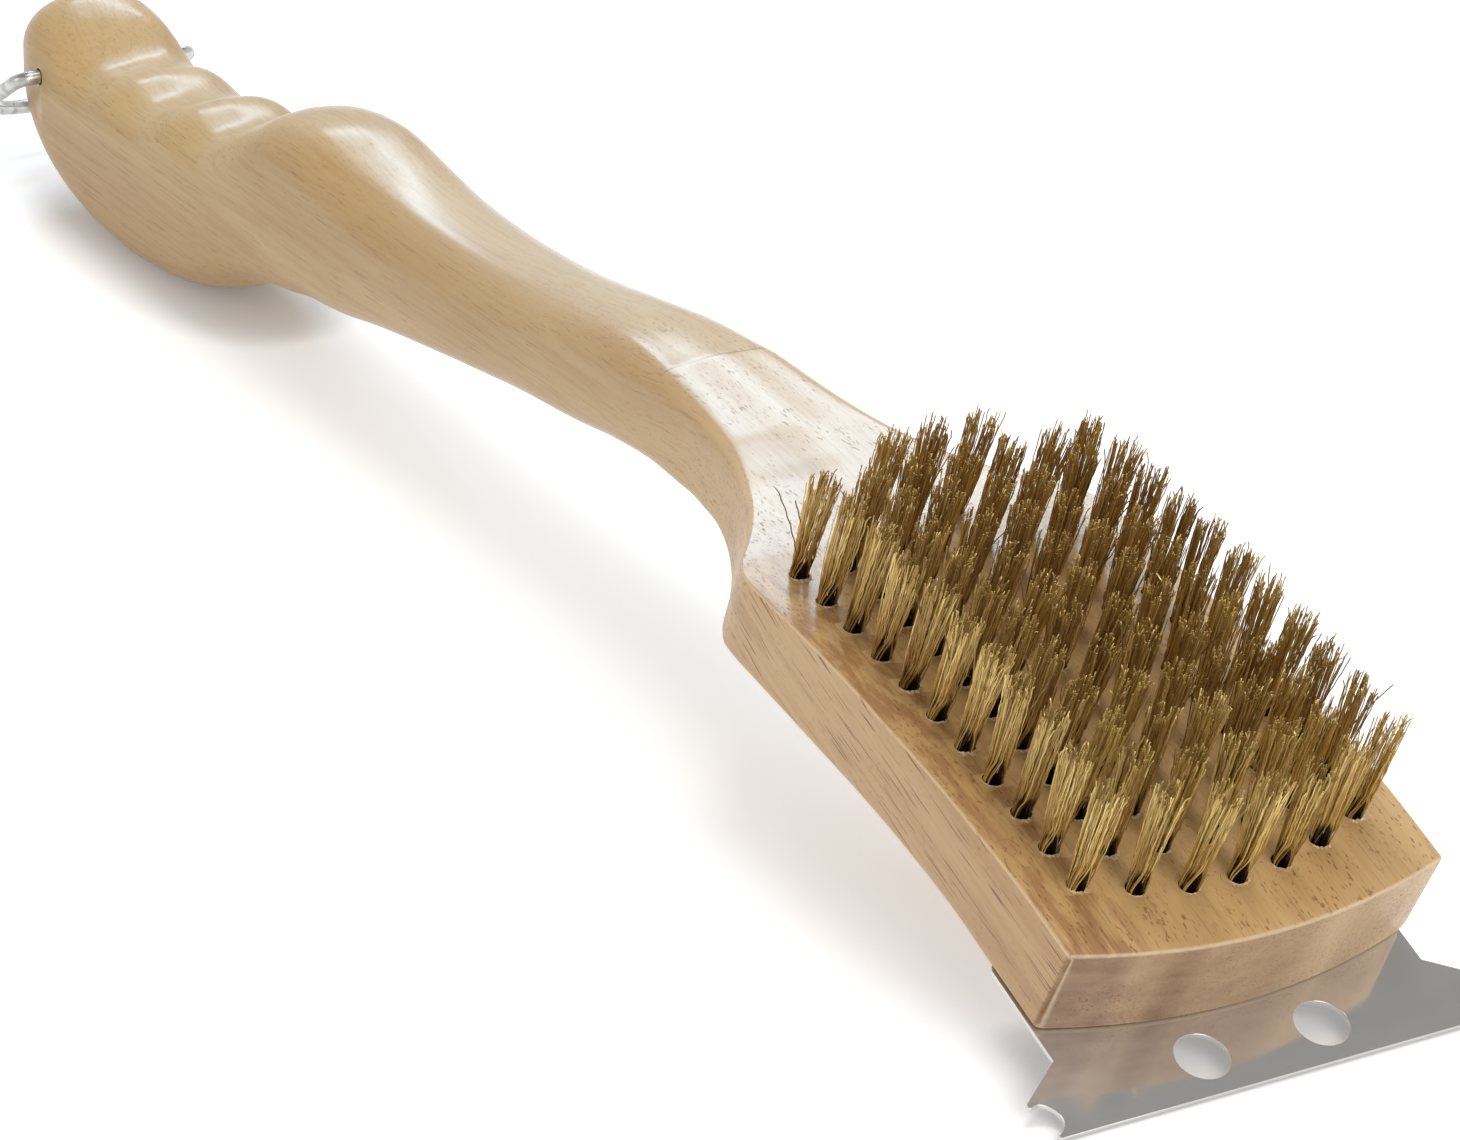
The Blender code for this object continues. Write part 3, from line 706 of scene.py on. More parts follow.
def wood_material():
    """Light hardwood under a clear lacquer, with grain that runs along the brush."""
    n = material("lacquered_wood")
    across, along, _ = n.axes(n.place("grain"))
    flank = n.attribute("side")
    front = n.attribute("front")
    grip = n.ramp(along, 0.08, 0.24)
    broad = n.ramp(n.noise((45, 5, 45), "grain", detail=3.0, warp=0.6), 0.35, 0.65)
    fibre = n.noise((1100, 26, 1100), "grain", detail=3.0, rough=0.6)
    streak = n.noise((2500, 62, 2500), "grain")
    pores = n.noise((2100, 600, 2100), "grain", detail=1.0)
    patches = n.noise((110, 30, 110), "grain", detail=1.0)

    # Head, with brown wood along its left side, then handle and front face
    head = n.mix(broad, srgb(200, 160, 102), srgb(212, 174, 118))
    far = n.mix(broad, srgb(190, 153, 99), srgb(205, 172, 118))
    flank_tone = n.mix(broad, srgb(200, 156, 105), srgb(214, 173, 123))
    head = n.mix(n.times(flank, 0.7), head, flank_tone)
    heart = n.ramp(n.away_from(across, HEART_PLACE), *HEART_BAND, 1.0, 0.0)
    brown = n.noise((420, 60, 420), "grain", detail=3.0, rough=0.6)
    streaked = n.times(heart, n.ramp(along, 0.09, 0.14, 1.0, 0.0))
    streaked = n.times(streaked, n.ramp(brown, 0.42, 0.60, 0.15, 0.80))
    streaked = n.times(streaked, n.ramp(flank, 0.0, 0.5, 1.0, 0.0))
    blush = n.noise((60, 14, 60), "grain", warp=0.5)
    blush = n.larger(n.ramp(blush, 0.52, 0.66, 0.0, 0.35), streaked)
    head = n.mix(blush, head, srgb(158, 110, 68))
    colour = n.mix(grip, head, far)
    colour = n.mix(n.times(front, 0.95), colour, end_wood_tone(n, heart, across))

    # Fine fibres, dark lines and pores along the grain
    fine = n.ramp(fibre, 0.42, 0.75, 0.0, 0.38)
    fine = n.times(fine, n.ramp(flank, 0.0, 0.5, 0.7, 0.6))
    colour = n.mix(fine, colour, srgb(170, 122, 72))
    lines = n.times(n.ramp(streak, 0.615, 0.655), n.ramp(grip, 0.0, 0.5, 0.9, 0.30))
    lines = n.times(lines, n.ramp(flank, 0.0, 0.5, 0.3, 1.0))
    colour = n.mix(lines, colour, srgb(128, 77, 40))
    flecks = n.times(n.ramp(pores, 0.62, 0.69), n.ramp(patches, 0.38, 0.55, 0.3, 1.0))
    flecks = n.times(flecks, n.ramp(along, 0.15, 0.24, 0.72, 0.25))
    flecks = n.times(flecks, n.ramp(flank, 0.0, 0.5, 1.0, 0.4))
    colour = n.mix(flecks, colour, srgb(136, 84, 46))

    # Line of the fold, and pale edges, partly wear and partly a painted highlight
    fold = n.times(crease_line(n), n.ramp(patches, 0.35, 0.55, 0.1, 0.55))
    colour = n.mix(fold, colour, srgb(96, 74, 58))
    wear_and_highlight = n.times(n.attribute("wear_and_highlight"), n.ramp(fibre, 0.2, 0.8, 0.6, 1.0))
    colour = n.mix(n.times(wear_and_highlight, 0.75), colour, srgb(230, 205, 170))

    # Relief of the fibres, and a lacquer that waves gently and is open at pores and fold
    height = n.math("ADD", n.times(fibre, 0.25), n.times(flecks, -0.8))
    wave = n.noise((70, 26, 70), "grain", detail=1.0)
    clear = n.ramp(front, 0.0, 1.0, 0.9, 0.30)
    clear = n.times(clear, n.ramp(along, 0.28, 0.35, 1.0, 0.66))
    clear = n.times(clear, n.ramp(flank, 0.0, 1.0, 1.0, 0.5))
    coat = n.math("MULTIPLY_ADD", n.math("ADD", flecks, fold), -0.8, clear)
    return n.finish(Base_Color=colour, Roughness=n.ramp(fibre, 0.3, 0.7, 0.50, 0.62),
                    Specular_IOR_Level=0.45, Normal=n.bump(height, FIBRE_RELIEF, 0.5),
                    Coat_Weight=coat, Coat_Roughness=0.22,
                    Coat_Normal=n.bump(wave, LACQUER_RELIEF, 0.3))


def shaded_hole_material():
    """Walls of the drilled holes, painted dark as their shade."""
    n = material("drilled_wood_painted_shade")
    fibre = n.noise((900, 60, 900))
    # Painted shade: dark brown on the hole walls, where the shade inside the holes falls
    colour = n.mix(fibre, srgb(66, 50, 38), srgb(94, 70, 52))
    return n.finish(Base_Color=colour, Roughness=0.85)


def rim_material():
    """Pale torn fibres around the drilled holes."""
    n = material("splintered_wood")
    fibre = n.noise((1800, 200, 1800))
    colour = n.mix(n.ramp(fibre, 0.35, 0.65), srgb(196, 156, 114), srgb(230, 202, 168))
    return n.finish(Base_Color=colour, Roughness=0.7, Normal=n.bump(fibre, TORN_RELIEF))


def wire_material():
    """Dull brass-coloured wire: golden, olive and brown, with painted shade towards the rear."""
    n = material("brass_wire")
    tone = n.attribute("tone")
    shade = n.attribute("shade")
    stain = n.noise((500, 500, 220))
    colour = n.mix(n.ramp(tone, 0.0, 1.0), srgb(146, 115, 60), srgb(255, 231, 152))
    colour = n.mix(n.ramp(stain, 0.42, 0.68, 0.0, 0.45), colour, srgb(204, 168, 96))
    # Painted shade that darkens the rows towards the rear, with a random brown share of each wire
    colour = n.mix(shade, colour, srgb(190, 144, 82))
    # Soot on some tips, and painted shade with soot at the foot of each tuft, most in its core
    colour = n.mix(n.attribute("soot_and_painted_shade"), colour, srgb(76, 58, 42))
    rough = n.ramp(stain, 0.3, 0.7, 0.30, 0.46)
    return n.finish(Base_Color=colour, Metallic=0.6, Roughness=rough)


def blade_material():
    """Satin stainless sheet with fine rolling lines and a little smear."""
    n = material("stainless_sheet")
    lines = n.noise((60, 4000, 400), rough=0.6)
    smear = n.noise((70, 70, 70), detail=3.0, warp=0.8)
    colour = n.mix(smear, srgb(210, 208, 206), srgb(226, 224, 221))
    dust = n.ramp(n.noise((2400, 2400, 2400), detail=0.0), 0.77, 0.80)
    rough = n.math("ADD", n.ramp(smear, 0.35, 0.7, 0.05, 0.10), n.times(lines, 0.03))
    rough = n.math("ADD", rough, n.times(dust, 0.12))
    in_head = n.add("ShaderNodeMapping", {"Vector": n.place(), "Rotation": (-HEAD_TILT, 0, 0)})
    back = n.axes(in_head.outputs["Vector"])[1]
    height = n.math("MULTIPLY_ADD", lines, ROLLING_RELIEF, n.times(back, BLADE_LEAN))
    return n.finish(Base_Color=colour, Metallic=0.82, Roughness=rough, Normal=n.bump(height, 1.0))


def plated_material(name, light, dark):
    """Zinc plated steel with dull patches and small pits."""
    n = material(name)
    patches = n.noise((350, 350, 350), detail=3.0, warp=0.5)
    pits = n.noise((1800, 1800, 1800))
    colour = n.mix(n.ramp(patches, 0.4, 0.65), light, dark)
    rough = n.ramp(patches, 0.3, 0.7, 0.22, 0.40)
    return n.finish(Base_Color=colour, Metallic=1.0, Roughness=rough,
                    Normal=n.bump(pits, PIT_RELIEF, 0.5))


# Pieces


def wood_sections():
    """Points of the wooden body's sections, with the values that its looks read.

    The sections are close together round the front face's edge, and even behind it.
    """
    keys = head_stations() + grip_stations()
    travel = [0.0]
    for a, b in zip(keys, keys[1:]):
        travel.append(travel[-1] + math.hypot(b[0] - a[0], b[1] - a[1]))
    columns = list(zip(*keys))
    neck = travel[len(HEAD_SECTIONS) - 1]
    quarter = [math.radians(90 * i / FACE_ROUNDING_STEPS) for i in range(FACE_ROUNDING_STEPS)]
    rounding = [HEAD_FACE_EDGE * (1 - math.cos(a)) for a in quarter]
    count = round((travel[-1] - HEAD_FACE_EDGE) / STATION_STEP)
    stops = [HEAD_FACE_EDGE + (travel[-1] - HEAD_FACE_EDGE) * i / count for i in range(count + 1)]
    rings = []
    wears_and_highlights = []
    fronts = []
    sides = []
    grains = []
    for distance in rounding + stops:
        y, z, tilt, half_height, half_width, top_edge, bottom_edge = [
            smooth_curve(travel, column, distance) for column in columns
        ]
        inset = 0.0
        if distance < HEAD_FACE_EDGE:
            reach = HEAD_FACE_EDGE - distance
            inset = HEAD_FACE_EDGE - math.sqrt(HEAD_FACE_EDGE ** 2 - reach ** 2)
        fade = max(0.0, 1 - distance / HEAD_BOW_FADE)
        drop = finger_drop(y) if distance > neck else 0.0
        loop = section_loop(half_width - inset, half_height - inset, top_edge, bottom_edge, drop)
        worn_and_lit = max(0.0, 1 - max(0.0, distance - WEAR_AND_HIGHLIGHT_FADE_START) / WEAR_AND_HIGHLIGHT_FADE_LENGTH)
        share = min(1.0, distance / HEAD_FACE_EDGE)
        face = math.sin(math.pi * math.sqrt(share))
        ridge = (y - half_height * math.sin(tilt), z + half_height * math.cos(tilt))
        handle = min(max((distance - GRAIN_TURN_START) / GRAIN_TURN_LENGTH, 0.0), 1.0)
        for x, up, edge_share, side in loop:
            crown = CROWN_HEIGHT * (math.exp(-(x / CROWN_WIDTH) ** 2) - 0.5)
            up += crown * handle * max(0.0, up / half_height)
            if distance > neck - CREASE_REACH:
                up -= crease_drop(x, *ridge) * max(0.0, up / half_height)
            back = fade * (HEAD_FRONT_BOW * (x / half_width) ** 2
                           + HEAD_FACE_LEAN * (half_height - up) / (2 * half_height))
            rings.append((
                x,
                y + back * math.cos(tilt) - up * math.sin(tilt),
                z + back * math.sin(tilt) + up * math.cos(tilt),
            ))
            # Pale edge share: partly wear, partly a painted highlight along the rounded edges
            wears_and_highlights.append(max(edge_share ** 4 * worn_and_lit, face * (1 - side)))
            fronts.append(1 - share)
            sides.append(side)
            here = Vector(rings[-1])
            in_head = here.z * math.cos(HEAD_TILT) - here.y * math.sin(HEAD_TILT)
            grains.append((x, distance + back, between(in_head, here.z - GRAIN_STEP, handle)))
    return len(loop), rings, {"wear_and_highlight": wears_and_highlights, "front": fronts, "side": sides}, grains


def cylinder_at(bm, matrix, radius, depth, sides):
    """Closed cylinder along the matrix's Z, added to a bmesh."""
    bmesh.ops.create_cone(bm, cap_ends=True, segments=sides, radius1=radius,
                          radius2=radius, depth=depth, matrix=matrix)


def wood_mesh(wood, hole_shade):
    """Wooden body with a drilled hole for each tuft and the cross bore of the bail."""
    count, points, shares, grains = wood_sections()
    rings = len(points) // count
    faces = []
    for r in range(rings - 1):
        for i in range(count):
            j = (i + 1) % count
            faces.append((r * count + i, r * count + j, (r + 1) * count + j, (r + 1) * count + i))
    for start in (0, (rings - 1) * count):
        for i in range(count // 2 - 1):
            faces.append((start + i, start + i + 1, start + count - 2 - i, start + count - 1 - i))
    mesh = bpy.data.meshes.new("wood_body")
    mesh.from_pydata(points, [], faces)
    for name, values in shares.items():
        store(mesh, name, values)
    store(mesh, "grain", grains, "FLOAT_VECTOR", "vector")
    bm = bmesh.new()
    bm.from_mesh(mesh)
    bmesh.ops.recalc_face_normals(bm, faces=bm.faces)
    bm.to_mesh(mesh)
    bm.free()
    mesh.transform(LYING)
    mesh.materials.append(wood)
    mesh.materials.append(hole_shade)
    body = new_object("wood_body", mesh)
    cuts = bmesh.new()
    for _, _, root in tuft_roots():
        place = HEAD @ Matrix.Translation(root)
        cylinder_at(cuts, place, TUFT_HOLE_RADIUS, 2 * TUFT_HOLE_DEPTH, TUFT_HOLE_SIDES)
    bore = LYING @ Matrix.Translation(bail_pivot()) @ Matrix.Rotation(math.radians(90), 4, "Y")
    cylinder_at(cuts, bore, BAIL_WIRE_RADIUS + BAIL_CLEARANCE, BORE_LENGTH, BORE_SIDES)
    cutter = new_object("cuts", mesh_from(cuts, "cuts"), [hole_shade])
    mesh = cut_mesh(body, cutter, "TRANSFER")
    shade_round(mesh, 35)
    return mesh


def rim_mesh():
    """Torn fibres around each drilled hole, just above the head's top."""
    rng = np.random.default_rng(SEED)
    points = []
    faces = []
    for _, _, root in tuft_roots():
        front = rng.uniform(0.0, 1.0)
        base = len(points)
        for i in range(RIM_SIDES):
            a = 2 * math.pi * i / RIM_SIDES
            torn = max(0.0, -math.sin(a)) ** 0.7 * (0.25 + 0.75 * front)
            width = RIM_LEAST_WIDTH + rng.uniform(0.0, RIM_WIDTH) * torn
            width += rng.uniform(0.0, RIM_ROUGHNESS)
            lift = RIM_LEAST_LIFT + rng.uniform(0.0, RIM_LIFT) * torn
            inward = RIM_LEAST_INWARD + rng.uniform(0.0, RIM_INWARD) * torn
            for radius, rise in ((TUFT_HOLE_RADIUS - inward, lift),
                                 (TUFT_HOLE_RADIUS + width, RIM_RISE)):
                x = root.x + radius * math.cos(a)
                y = root.y + radius * math.sin(a)
                z = top_height(y - SCRAPER_REACH) + rise
                points.append(HEAD @ Vector((x, y, z)))
        for i in range(RIM_SIDES):
            j = (i + 1) % RIM_SIDES
            faces.append((base + 2 * i, base + 2 * i + 1, base + 2 * j + 1, base + 2 * j))
    mesh = bpy.data.meshes.new("splintered_rims")
    mesh.from_pydata(points, [], faces)
    return mesh


def stray_wires(rng, row, column):
    """Reach and turn of the tips of the wires that stand out from a tuft."""
    if row == FULL_ROWS - 1 and column == 0:
        return LONG_STRAYS
    return [(rng.uniform(*STRAY_REACH), rng.uniform(-math.pi, math.pi))
            for _ in range(rng.integers(0, 3))]


class Tuft:
    """Random form of one tuft: its lean, open front, clumps of tips and stray wires."""

    def __init__(self, rng, row, column):
        self.rng = rng
        self.lean = rng.normal(0.0, TUFT_LEAN, 2)
        self.facing = TUFT_TURN + rng.normal(0.0, TUFT_TURN_SPREAD)
        self.opening = TUFT_OPENING * rng.uniform(*OPENING_SHARES)
        self.strays = stray_wires(rng, row, column)
        self.tone = rng.uniform(0.0, TUFT_TONE)
        reach = TUFT_TIP_RADIUS * np.sqrt(rng.uniform(0.0, 1.0, CLUMPS_PER_TUFT))
        turn = rng.uniform(-math.pi, math.pi, CLUMPS_PER_TUFT)
        self.clumps = reach * np.exp(1j * turn)

    def wire(self, along, stray):
        """Line of one crimped wire from the tuft's root, its length and its share outwards."""
        rng = self.rng

        # Its place in the tuft, and its length
        share = math.sqrt(rng.uniform(0.12, 1.0))
        swing = rng.uniform(-1.0, 1.0)
        length = TUFT_LENGTH + rng.normal(0, WIRE_LENGTH_SPREAD)
        if rng.uniform() < SHORT_WIRES:
            length += rng.uniform(*SHORT_WIRE_CHANGE)
        length = min(length, TUFT_LENGTH + WIRE_MOST_OVER)
        z = between(WIRE_FOOT, length, along)

        # Spread that grows towards the tip, with the front of the foot left open
        go = np.clip(z / TUFT_LENGTH, 0.0, 1.2)
        closed = np.clip(z / TUFT_CLOSED_AT, 0.0, 1.0)
        closed = closed * closed * (3 - 2 * closed)
        angle = self.facing + math.pi + swing * (math.pi - self.opening * (1 - closed))
        radius = share * between(TUFT_BASE_RADIUS, TUFT_TIP_RADIUS, go ** 1.1)
        x = radius * np.cos(angle)
        y = radius * np.sin(angle)

        # Pull to the nearest clump of tips, or far out for a stray wire
        tip_place = complex(x[-1], y[-1])
        pull = self.clumps[np.argmin(abs(self.clumps - tip_place))] - tip_place
        x = x + CLUMP_PULL * pull.real * go ** 2
        y = y + CLUMP_PULL * pull.imag * go ** 2
        if stray:
            reach, turn = stray
            x = x + (reach * math.cos(turn) - x) * go ** 1.4
            y = y + (reach * math.sin(turn) - y) * go ** 1.4

        # Crimp, bend, hooked tip and drift
        wave = 2 * math.pi / rng.uniform(*CRIMP_LENGTHS)
        turn = rng.uniform(0, math.pi)
        size = rng.uniform(*CRIMP_SIZES)
        crimp = size * np.sin(wave * z + rng.uniform(0, 2 * math.pi))
        crimp = crimp * np.clip(go * 6, 0.2, 1.0)
        bend = rng.normal(0, WIRE_SPREAD) * np.sin(math.pi * np.clip(go, 0, 1))
        hook = np.clip(along - HOOK_START, 0, 1) ** 2 / (1 - HOOK_START) ** 2
        hook = hook * rng.normal(0, HOOK_SPREAD)
        drift = rng.normal(0, WIRE_SPREAD, 2)
        x = x + (self.lean[0] + drift[0]) * go + crimp * math.cos(turn) + bend + hook
        y = y + (self.lean[1] + drift[1]) * go + crimp * math.sin(turn) + hook * rng.normal(0, 1)
        return x, y, z, length, share

    def soot_and_painted_shade(self, z, length, share, stray):
        """Soot and painted shade of one wire: painted shade with soot at the tuft's foot, most in
        its core, an even darkening of stray wires, and soot on some tips.
        """
        inner = min(1.0, max(0.0, (OUTER_WIRES - share) / OUTER_FADE))
        # Painted shade with soot at the foot, strongest in the tuft's core
        low = np.clip((SOOT_AND_SHADE_TOP - z) / SOOT_AND_SHADE_FADE, 0.0, 1.0)
        low = low * between(OUTER_SOOT_AND_SHADE, 1, inner)
        if stray:
            low = np.full(len(z), STRAY_DARKENING)
        tip = 0.0 if self.rng.uniform() < CLEAN_TIPS else self.rng.uniform(0.0, TIP_SOOT)
        high = tip * np.clip((z - length + TIP_SOOT_LENGTH) / TIP_SOOT_LENGTH, 0.0, 1.0)
        return np.maximum(low, high)


def tube_mesh(name, tubes):
    """Four-sided tubes with closed tips, from the points of each tube's rings."""
    size = (WIRE_STEPS + 1) * WIRE_SIDES
    points = np.concatenate(tubes)
    step = np.arange(WIRE_STEPS)[:, None] * WIRE_SIDES
    side = np.arange(WIRE_SIDES)
    after = (side + 1) % WIRE_SIDES
    quads = np.stack([step + side, step + after, step + WIRE_SIDES + after,
                      step + WIRE_SIDES + side], axis=2).reshape(-1, 4)
    first = (np.arange(len(tubes)) * size)[:, None]
    all_quads = (quads[None] + first[:, :, None]).reshape(-1, 4)
    tips = first + WIRE_STEPS * WIRE_SIDES + side
    corners = np.concatenate([all_quads.ravel(), tips.ravel()])
    starts = np.concatenate([np.arange(len(all_quads)) * 4,
                             len(all_quads) * 4 + np.arange(len(tips)) * WIRE_SIDES])
    mesh = bpy.data.meshes.new(name)
    mesh.vertices.add(len(points))
    mesh.vertices.foreach_set("co", points.astype(np.float32).ravel())
    mesh.loops.add(len(corners))
    mesh.loops.foreach_set("vertex_index", corners.astype(np.int32))
    mesh.polygons.add(len(starts))
    mesh.polygons.foreach_set("loop_start", starts.astype(np.int32))
    mesh.update(calc_edges=True)
    mesh.validate()
    return mesh


def tuft_row_mesh(row):
    """All wires of one row of tufts, as thin crimped tubes."""
    rng = np.random.default_rng(SEED + row)
    along = np.linspace(0.0, 1.0, WIRE_STEPS + 1)
    ring = 2 * math.pi * np.arange(WIRE_SIDES) / WIRE_SIDES
    turn = np.array(HEAD.to_3x3())
    tubes = []
    tones = []
    shades = []
    soots_and_painted_shades = []
    for root_row, column, root in tuft_roots():
        if root_row != row:
            continue
        tuft = Tuft(rng, row, column)
        for stray in [None] * WIRES_PER_TUFT + tuft.strays:
            x, y, z, length, share = tuft.wire(along, stray)
            points = np.stack([
                root.x + x[:, None] + WIRE_RADIUS * np.cos(ring),
                root.y + y[:, None] + WIRE_RADIUS * np.sin(ring),
                root.z + np.repeat(z[:, None], WIRE_SIDES, axis=1),
            ], axis=2)
            tubes.append(points.reshape(-1, 3) @ turn.T + np.array(HEAD.translation))
            tones.append(min(1.0, tuft.tone + WIRE_TONE * rng.uniform(0.0, 1.0) ** 1.3))
            # Painted shade that grows row by row towards the rear, plus a random share of each
            # wire
            shades.append(min(MOST_SHADE, ROW_PAINTED_SHADE * row + rng.uniform(0.0, WIRE_SHADE)))
            soots_and_painted_shades.append(tuft.soot_and_painted_shade(z, length, share, stray))
    mesh = tube_mesh("tufts_%02d" % (row + 1), tubes)
    store(mesh, "tone", np.repeat(tones, len(along) * WIRE_SIDES))
    store(mesh, "shade", np.repeat(shades, len(along) * WIRE_SIDES))
    store(mesh, "soot_and_painted_shade", np.repeat(np.concatenate(soots_and_painted_shades), WIRE_SIDES))
    shade_round(mesh, 80)
    return mesh


def arc(centre, radius, start, end, count):
    """Points of an arc from one angle to another, in degrees."""
    turns = [math.radians(start + (end - start) * i / count) for i in range(count + 1)]
    return [(centre[0] + radius * math.cos(a), centre[1] + radius * math.sin(a)) for a in turns]


def blade_mesh():
    """Flat blade with two round holes, rod notches at its corners and eased edges."""
    side = HEAD_HALF_WIDTH - SCRAPER_SIDE_INSET
    corner = side + SCRAPER_CORNER_OUT
    notch = (side + ROD_NOTCH_OUT, ROD_NOTCH_BACK)
    tip = (side + SCRAPER_TIP_OUT, SCRAPER_TIP_BACK)
    flare = math.degrees(math.atan2(tip[1] - SCRAPER_FLARE_START, tip[0] - side))
    leave = math.degrees(math.acos((notch[0] - corner) / ROD_NOTCH_RADIUS)) + 180
    half = [(corner, 0.0)]
    half += arc(notch, ROD_NOTCH_RADIUS, leave, NOTCH_END, NOTCH_STEPS)
    round_centre = (tip[0] - SCRAPER_TIP_ROUND, tip[1] - 2 * SCRAPER_TIP_ROUND)
    half += arc(round_centre, SCRAPER_TIP_ROUND, TIP_START, flare + 90, TIP_STEPS)
    half.append((side, SCRAPER_FLARE_START))
    rear = SCRAPER_REACH + SCRAPER_SEAT
    rear_round = SCRAPER_REAR_ROUND
    half += arc((side - rear_round, rear - rear_round), rear_round, 0, 90, REAR_STEPS)
    loops = [[(-x, y) for x, y in half] + half[::-1]]
    for x in even_places(2, BLADE_HOLE_SPACING):
        loops.append(arc((x, BLADE_HOLE_BACK), BLADE_HOLE_RADIUS, 0, 360, BLADE_HOLE_SIDES)[:-1])
    hole_radius = SCREW_SHANK_RADIUS + GAP
    for x in even_places(SCREW_COUNT, SCREW_SPACING):
        loops.append(arc((x, SCREW_BACK), hole_radius, 0, 360, SCREW_HOLE_SIDES)[:-1])
    curve = bpy.data.curves.new("blade_outline", "CURVE")
    curve.dimensions = "2D"
    curve.fill_mode = "BOTH"
    curve.extrude = SCRAPER_THICKNESS / 2 - BLADE_EDGE_EASE
    curve.bevel_depth = BLADE_EDGE_EASE
    curve.bevel_resolution = 2
    curve.offset = -BLADE_EDGE_EASE
    for loop in loops:
        add_line(curve, loop, closed=True)
    mesh = finished_mesh(new_object("blade_outline", curve))
    mesh.transform(HEAD @ Matrix.Translation((0, 0, SCRAPER_THICKNESS / 2)))
    shade_round(mesh, 50)
    return mesh


def screw_mesh(number, x):
    """Round-head screw with a driver slot."""
    profile = [(0.0, SCREW_LENGTH), (SCREW_SHANK_RADIUS, SCREW_LENGTH - SCREW_POINT),
               (SCREW_SHANK_RADIUS, -GAP), (SCREW_HEAD_RADIUS - SCREW_EDGE_EASE, -GAP),
               (SCREW_HEAD_RADIUS, -GAP - SCREW_EDGE_EASE)]
    rim = -GAP - SCREW_HEAD_HEIGHT * SCREW_RIM_SHARE
    dome = SCREW_HEAD_HEIGHT * (1 - SCREW_RIM_SHARE)
    for i in range(SCREW_DOME_STEPS + 1):
        a = math.radians(90 * i / SCREW_DOME_STEPS)
        profile.append((SCREW_HEAD_RADIUS * math.cos(a), rim - dome * math.sin(a)))
    profile[-1] = (0.0, profile[-1][1])
    bm = bmesh.new()
    rings = []
    for r, z in profile:
        turns = [2 * math.pi * i / SCREW_SIDES for i in range(SCREW_SIDES if r else 1)]
        rings.append([bm.verts.new((r * math.cos(a), r * math.sin(a), z)) for a in turns])
    for first, second in zip(rings, rings[1:]):
        for i in range(SCREW_SIDES):
            j = (i + 1) % SCREW_SIDES
            corners = [first[i % len(first)], first[j % len(first)],
                       second[j % len(second)], second[i % len(second)]]
            bm.faces.new(list(dict.fromkeys(corners)))
    bmesh.ops.recalc_face_normals(bm, faces=bm.faces)
    screw = new_object("screw", mesh_from(bm, "screw"))
    bm = bmesh.new()
    bmesh.ops.create_cube(bm, size=1)
    size = (3 * SCREW_HEAD_RADIUS, SCREW_SLOT_WIDTH, 2 * SCREW_SLOT_DEPTH)
    turn = Matrix.Rotation(SCREW_SLOT_TURN * number, 3, "Z")
    bmesh.ops.scale(bm, verts=bm.verts, vec=size)
    bmesh.ops.rotate(bm, verts=bm.verts, matrix=turn)
    bmesh.ops.translate(bm, verts=bm.verts, vec=(0, 0, -GAP - SCREW_HEAD_HEIGHT))
    slot = new_object("driver_slot", mesh_from(bm, "driver_slot"))
    mesh = cut_mesh(screw, slot)
    mesh.transform(HEAD @ Matrix.Translation((x, SCREW_BACK, 0)))
    shade_round(mesh, 40)
    return mesh


def bail_mesh():
    """Round wire bent into a loop, with one pin in each side of the handle."""
    pivot = bail_pivot().y - NECK_END
    half_width = max(row[3] for row in GRIP_SECTIONS if row[0] > pivot - BAIL_PIVOT_FROM_END)
    leg = half_width + BAIL_SIDE_CLEARANCE + BAIL_WIRE_RADIUS
    elbow = BAIL_ELBOW_RADIUS
    corner = BAIL_CORNER_RADIUS
    half = [(leg - elbow - BAIL_PIN_LENGTH, 0.0), (leg - elbow - BAIL_PIN_LENGTH / 2, 0.0)]
    half += arc((leg - elbow, elbow), elbow, -90, 0, ELBOW_STEPS)
    half += arc((leg - corner, BAIL_LENGTH - corner), corner, 0, 90, CORNER_STEPS)
    path = half + [(-x, y) for x, y in half[::-1]]
    curve = bpy.data.curves.new("bail_wire", "CURVE")
    curve.dimensions = "3D"
    curve.bevel_depth = BAIL_WIRE_RADIUS
    curve.bevel_resolution = 8
    curve.use_fill_caps = True
    add_line(curve, path)
    mesh = finished_mesh(new_object("bail_wire", curve))
    mesh.transform(LYING @ Matrix.Translation(bail_pivot())
                   @ Matrix.Rotation(-BAIL_SLOPE, 4, "X"))
    shade_round(mesh, 50)
    return mesh


def add_floor():
    """Wide pale floor that shows white, keeps the shadow and has a painted contact shadow."""
    n = material("pale_floor", bare=True)
    # Painted contact shadow: the glow dims where the object is near, as under the blade
    near = n.add("ShaderNodeAmbientOcclusion", {"Distance": CONTACT_SHADOW_REACH}, samples=8)
    shade = n.add("ShaderNodeMapRange", {
        "Value": near.outputs["AO"], "From Min": CONTACT_SHADOW_OPEN,
        "To Min": FLOOR_GLOW[0], "To Max": FLOOR_GLOW[1],
    })
    seen = n.seen_by("Is Camera Ray", "Is Glossy Ray")
    level = n.times(seen, shade.outputs[0])
    glow = n.add("ShaderNodeEmission", {"Strength": level})
    diffuse = n.add("ShaderNodeBsdfDiffuse", {"Color": (FLOOR_TONE, FLOOR_TONE, FLOOR_TONE, 1)})
    both = n.add("ShaderNodeAddShader", {0: diffuse.outputs[0], 1: glow.outputs[0]})
    n.add("ShaderNodeOutputMaterial", {"Surface": both.outputs[0]})
    bm = bmesh.new()
    bmesh.ops.create_grid(bm, x_segments=1, y_segments=1, size=FLOOR_REACH)
    floor = new_object("floor", mesh_from(bm, "floor"), [n.look])
    floor.location.z = cad_box[0][2] - FLOOR_DROP


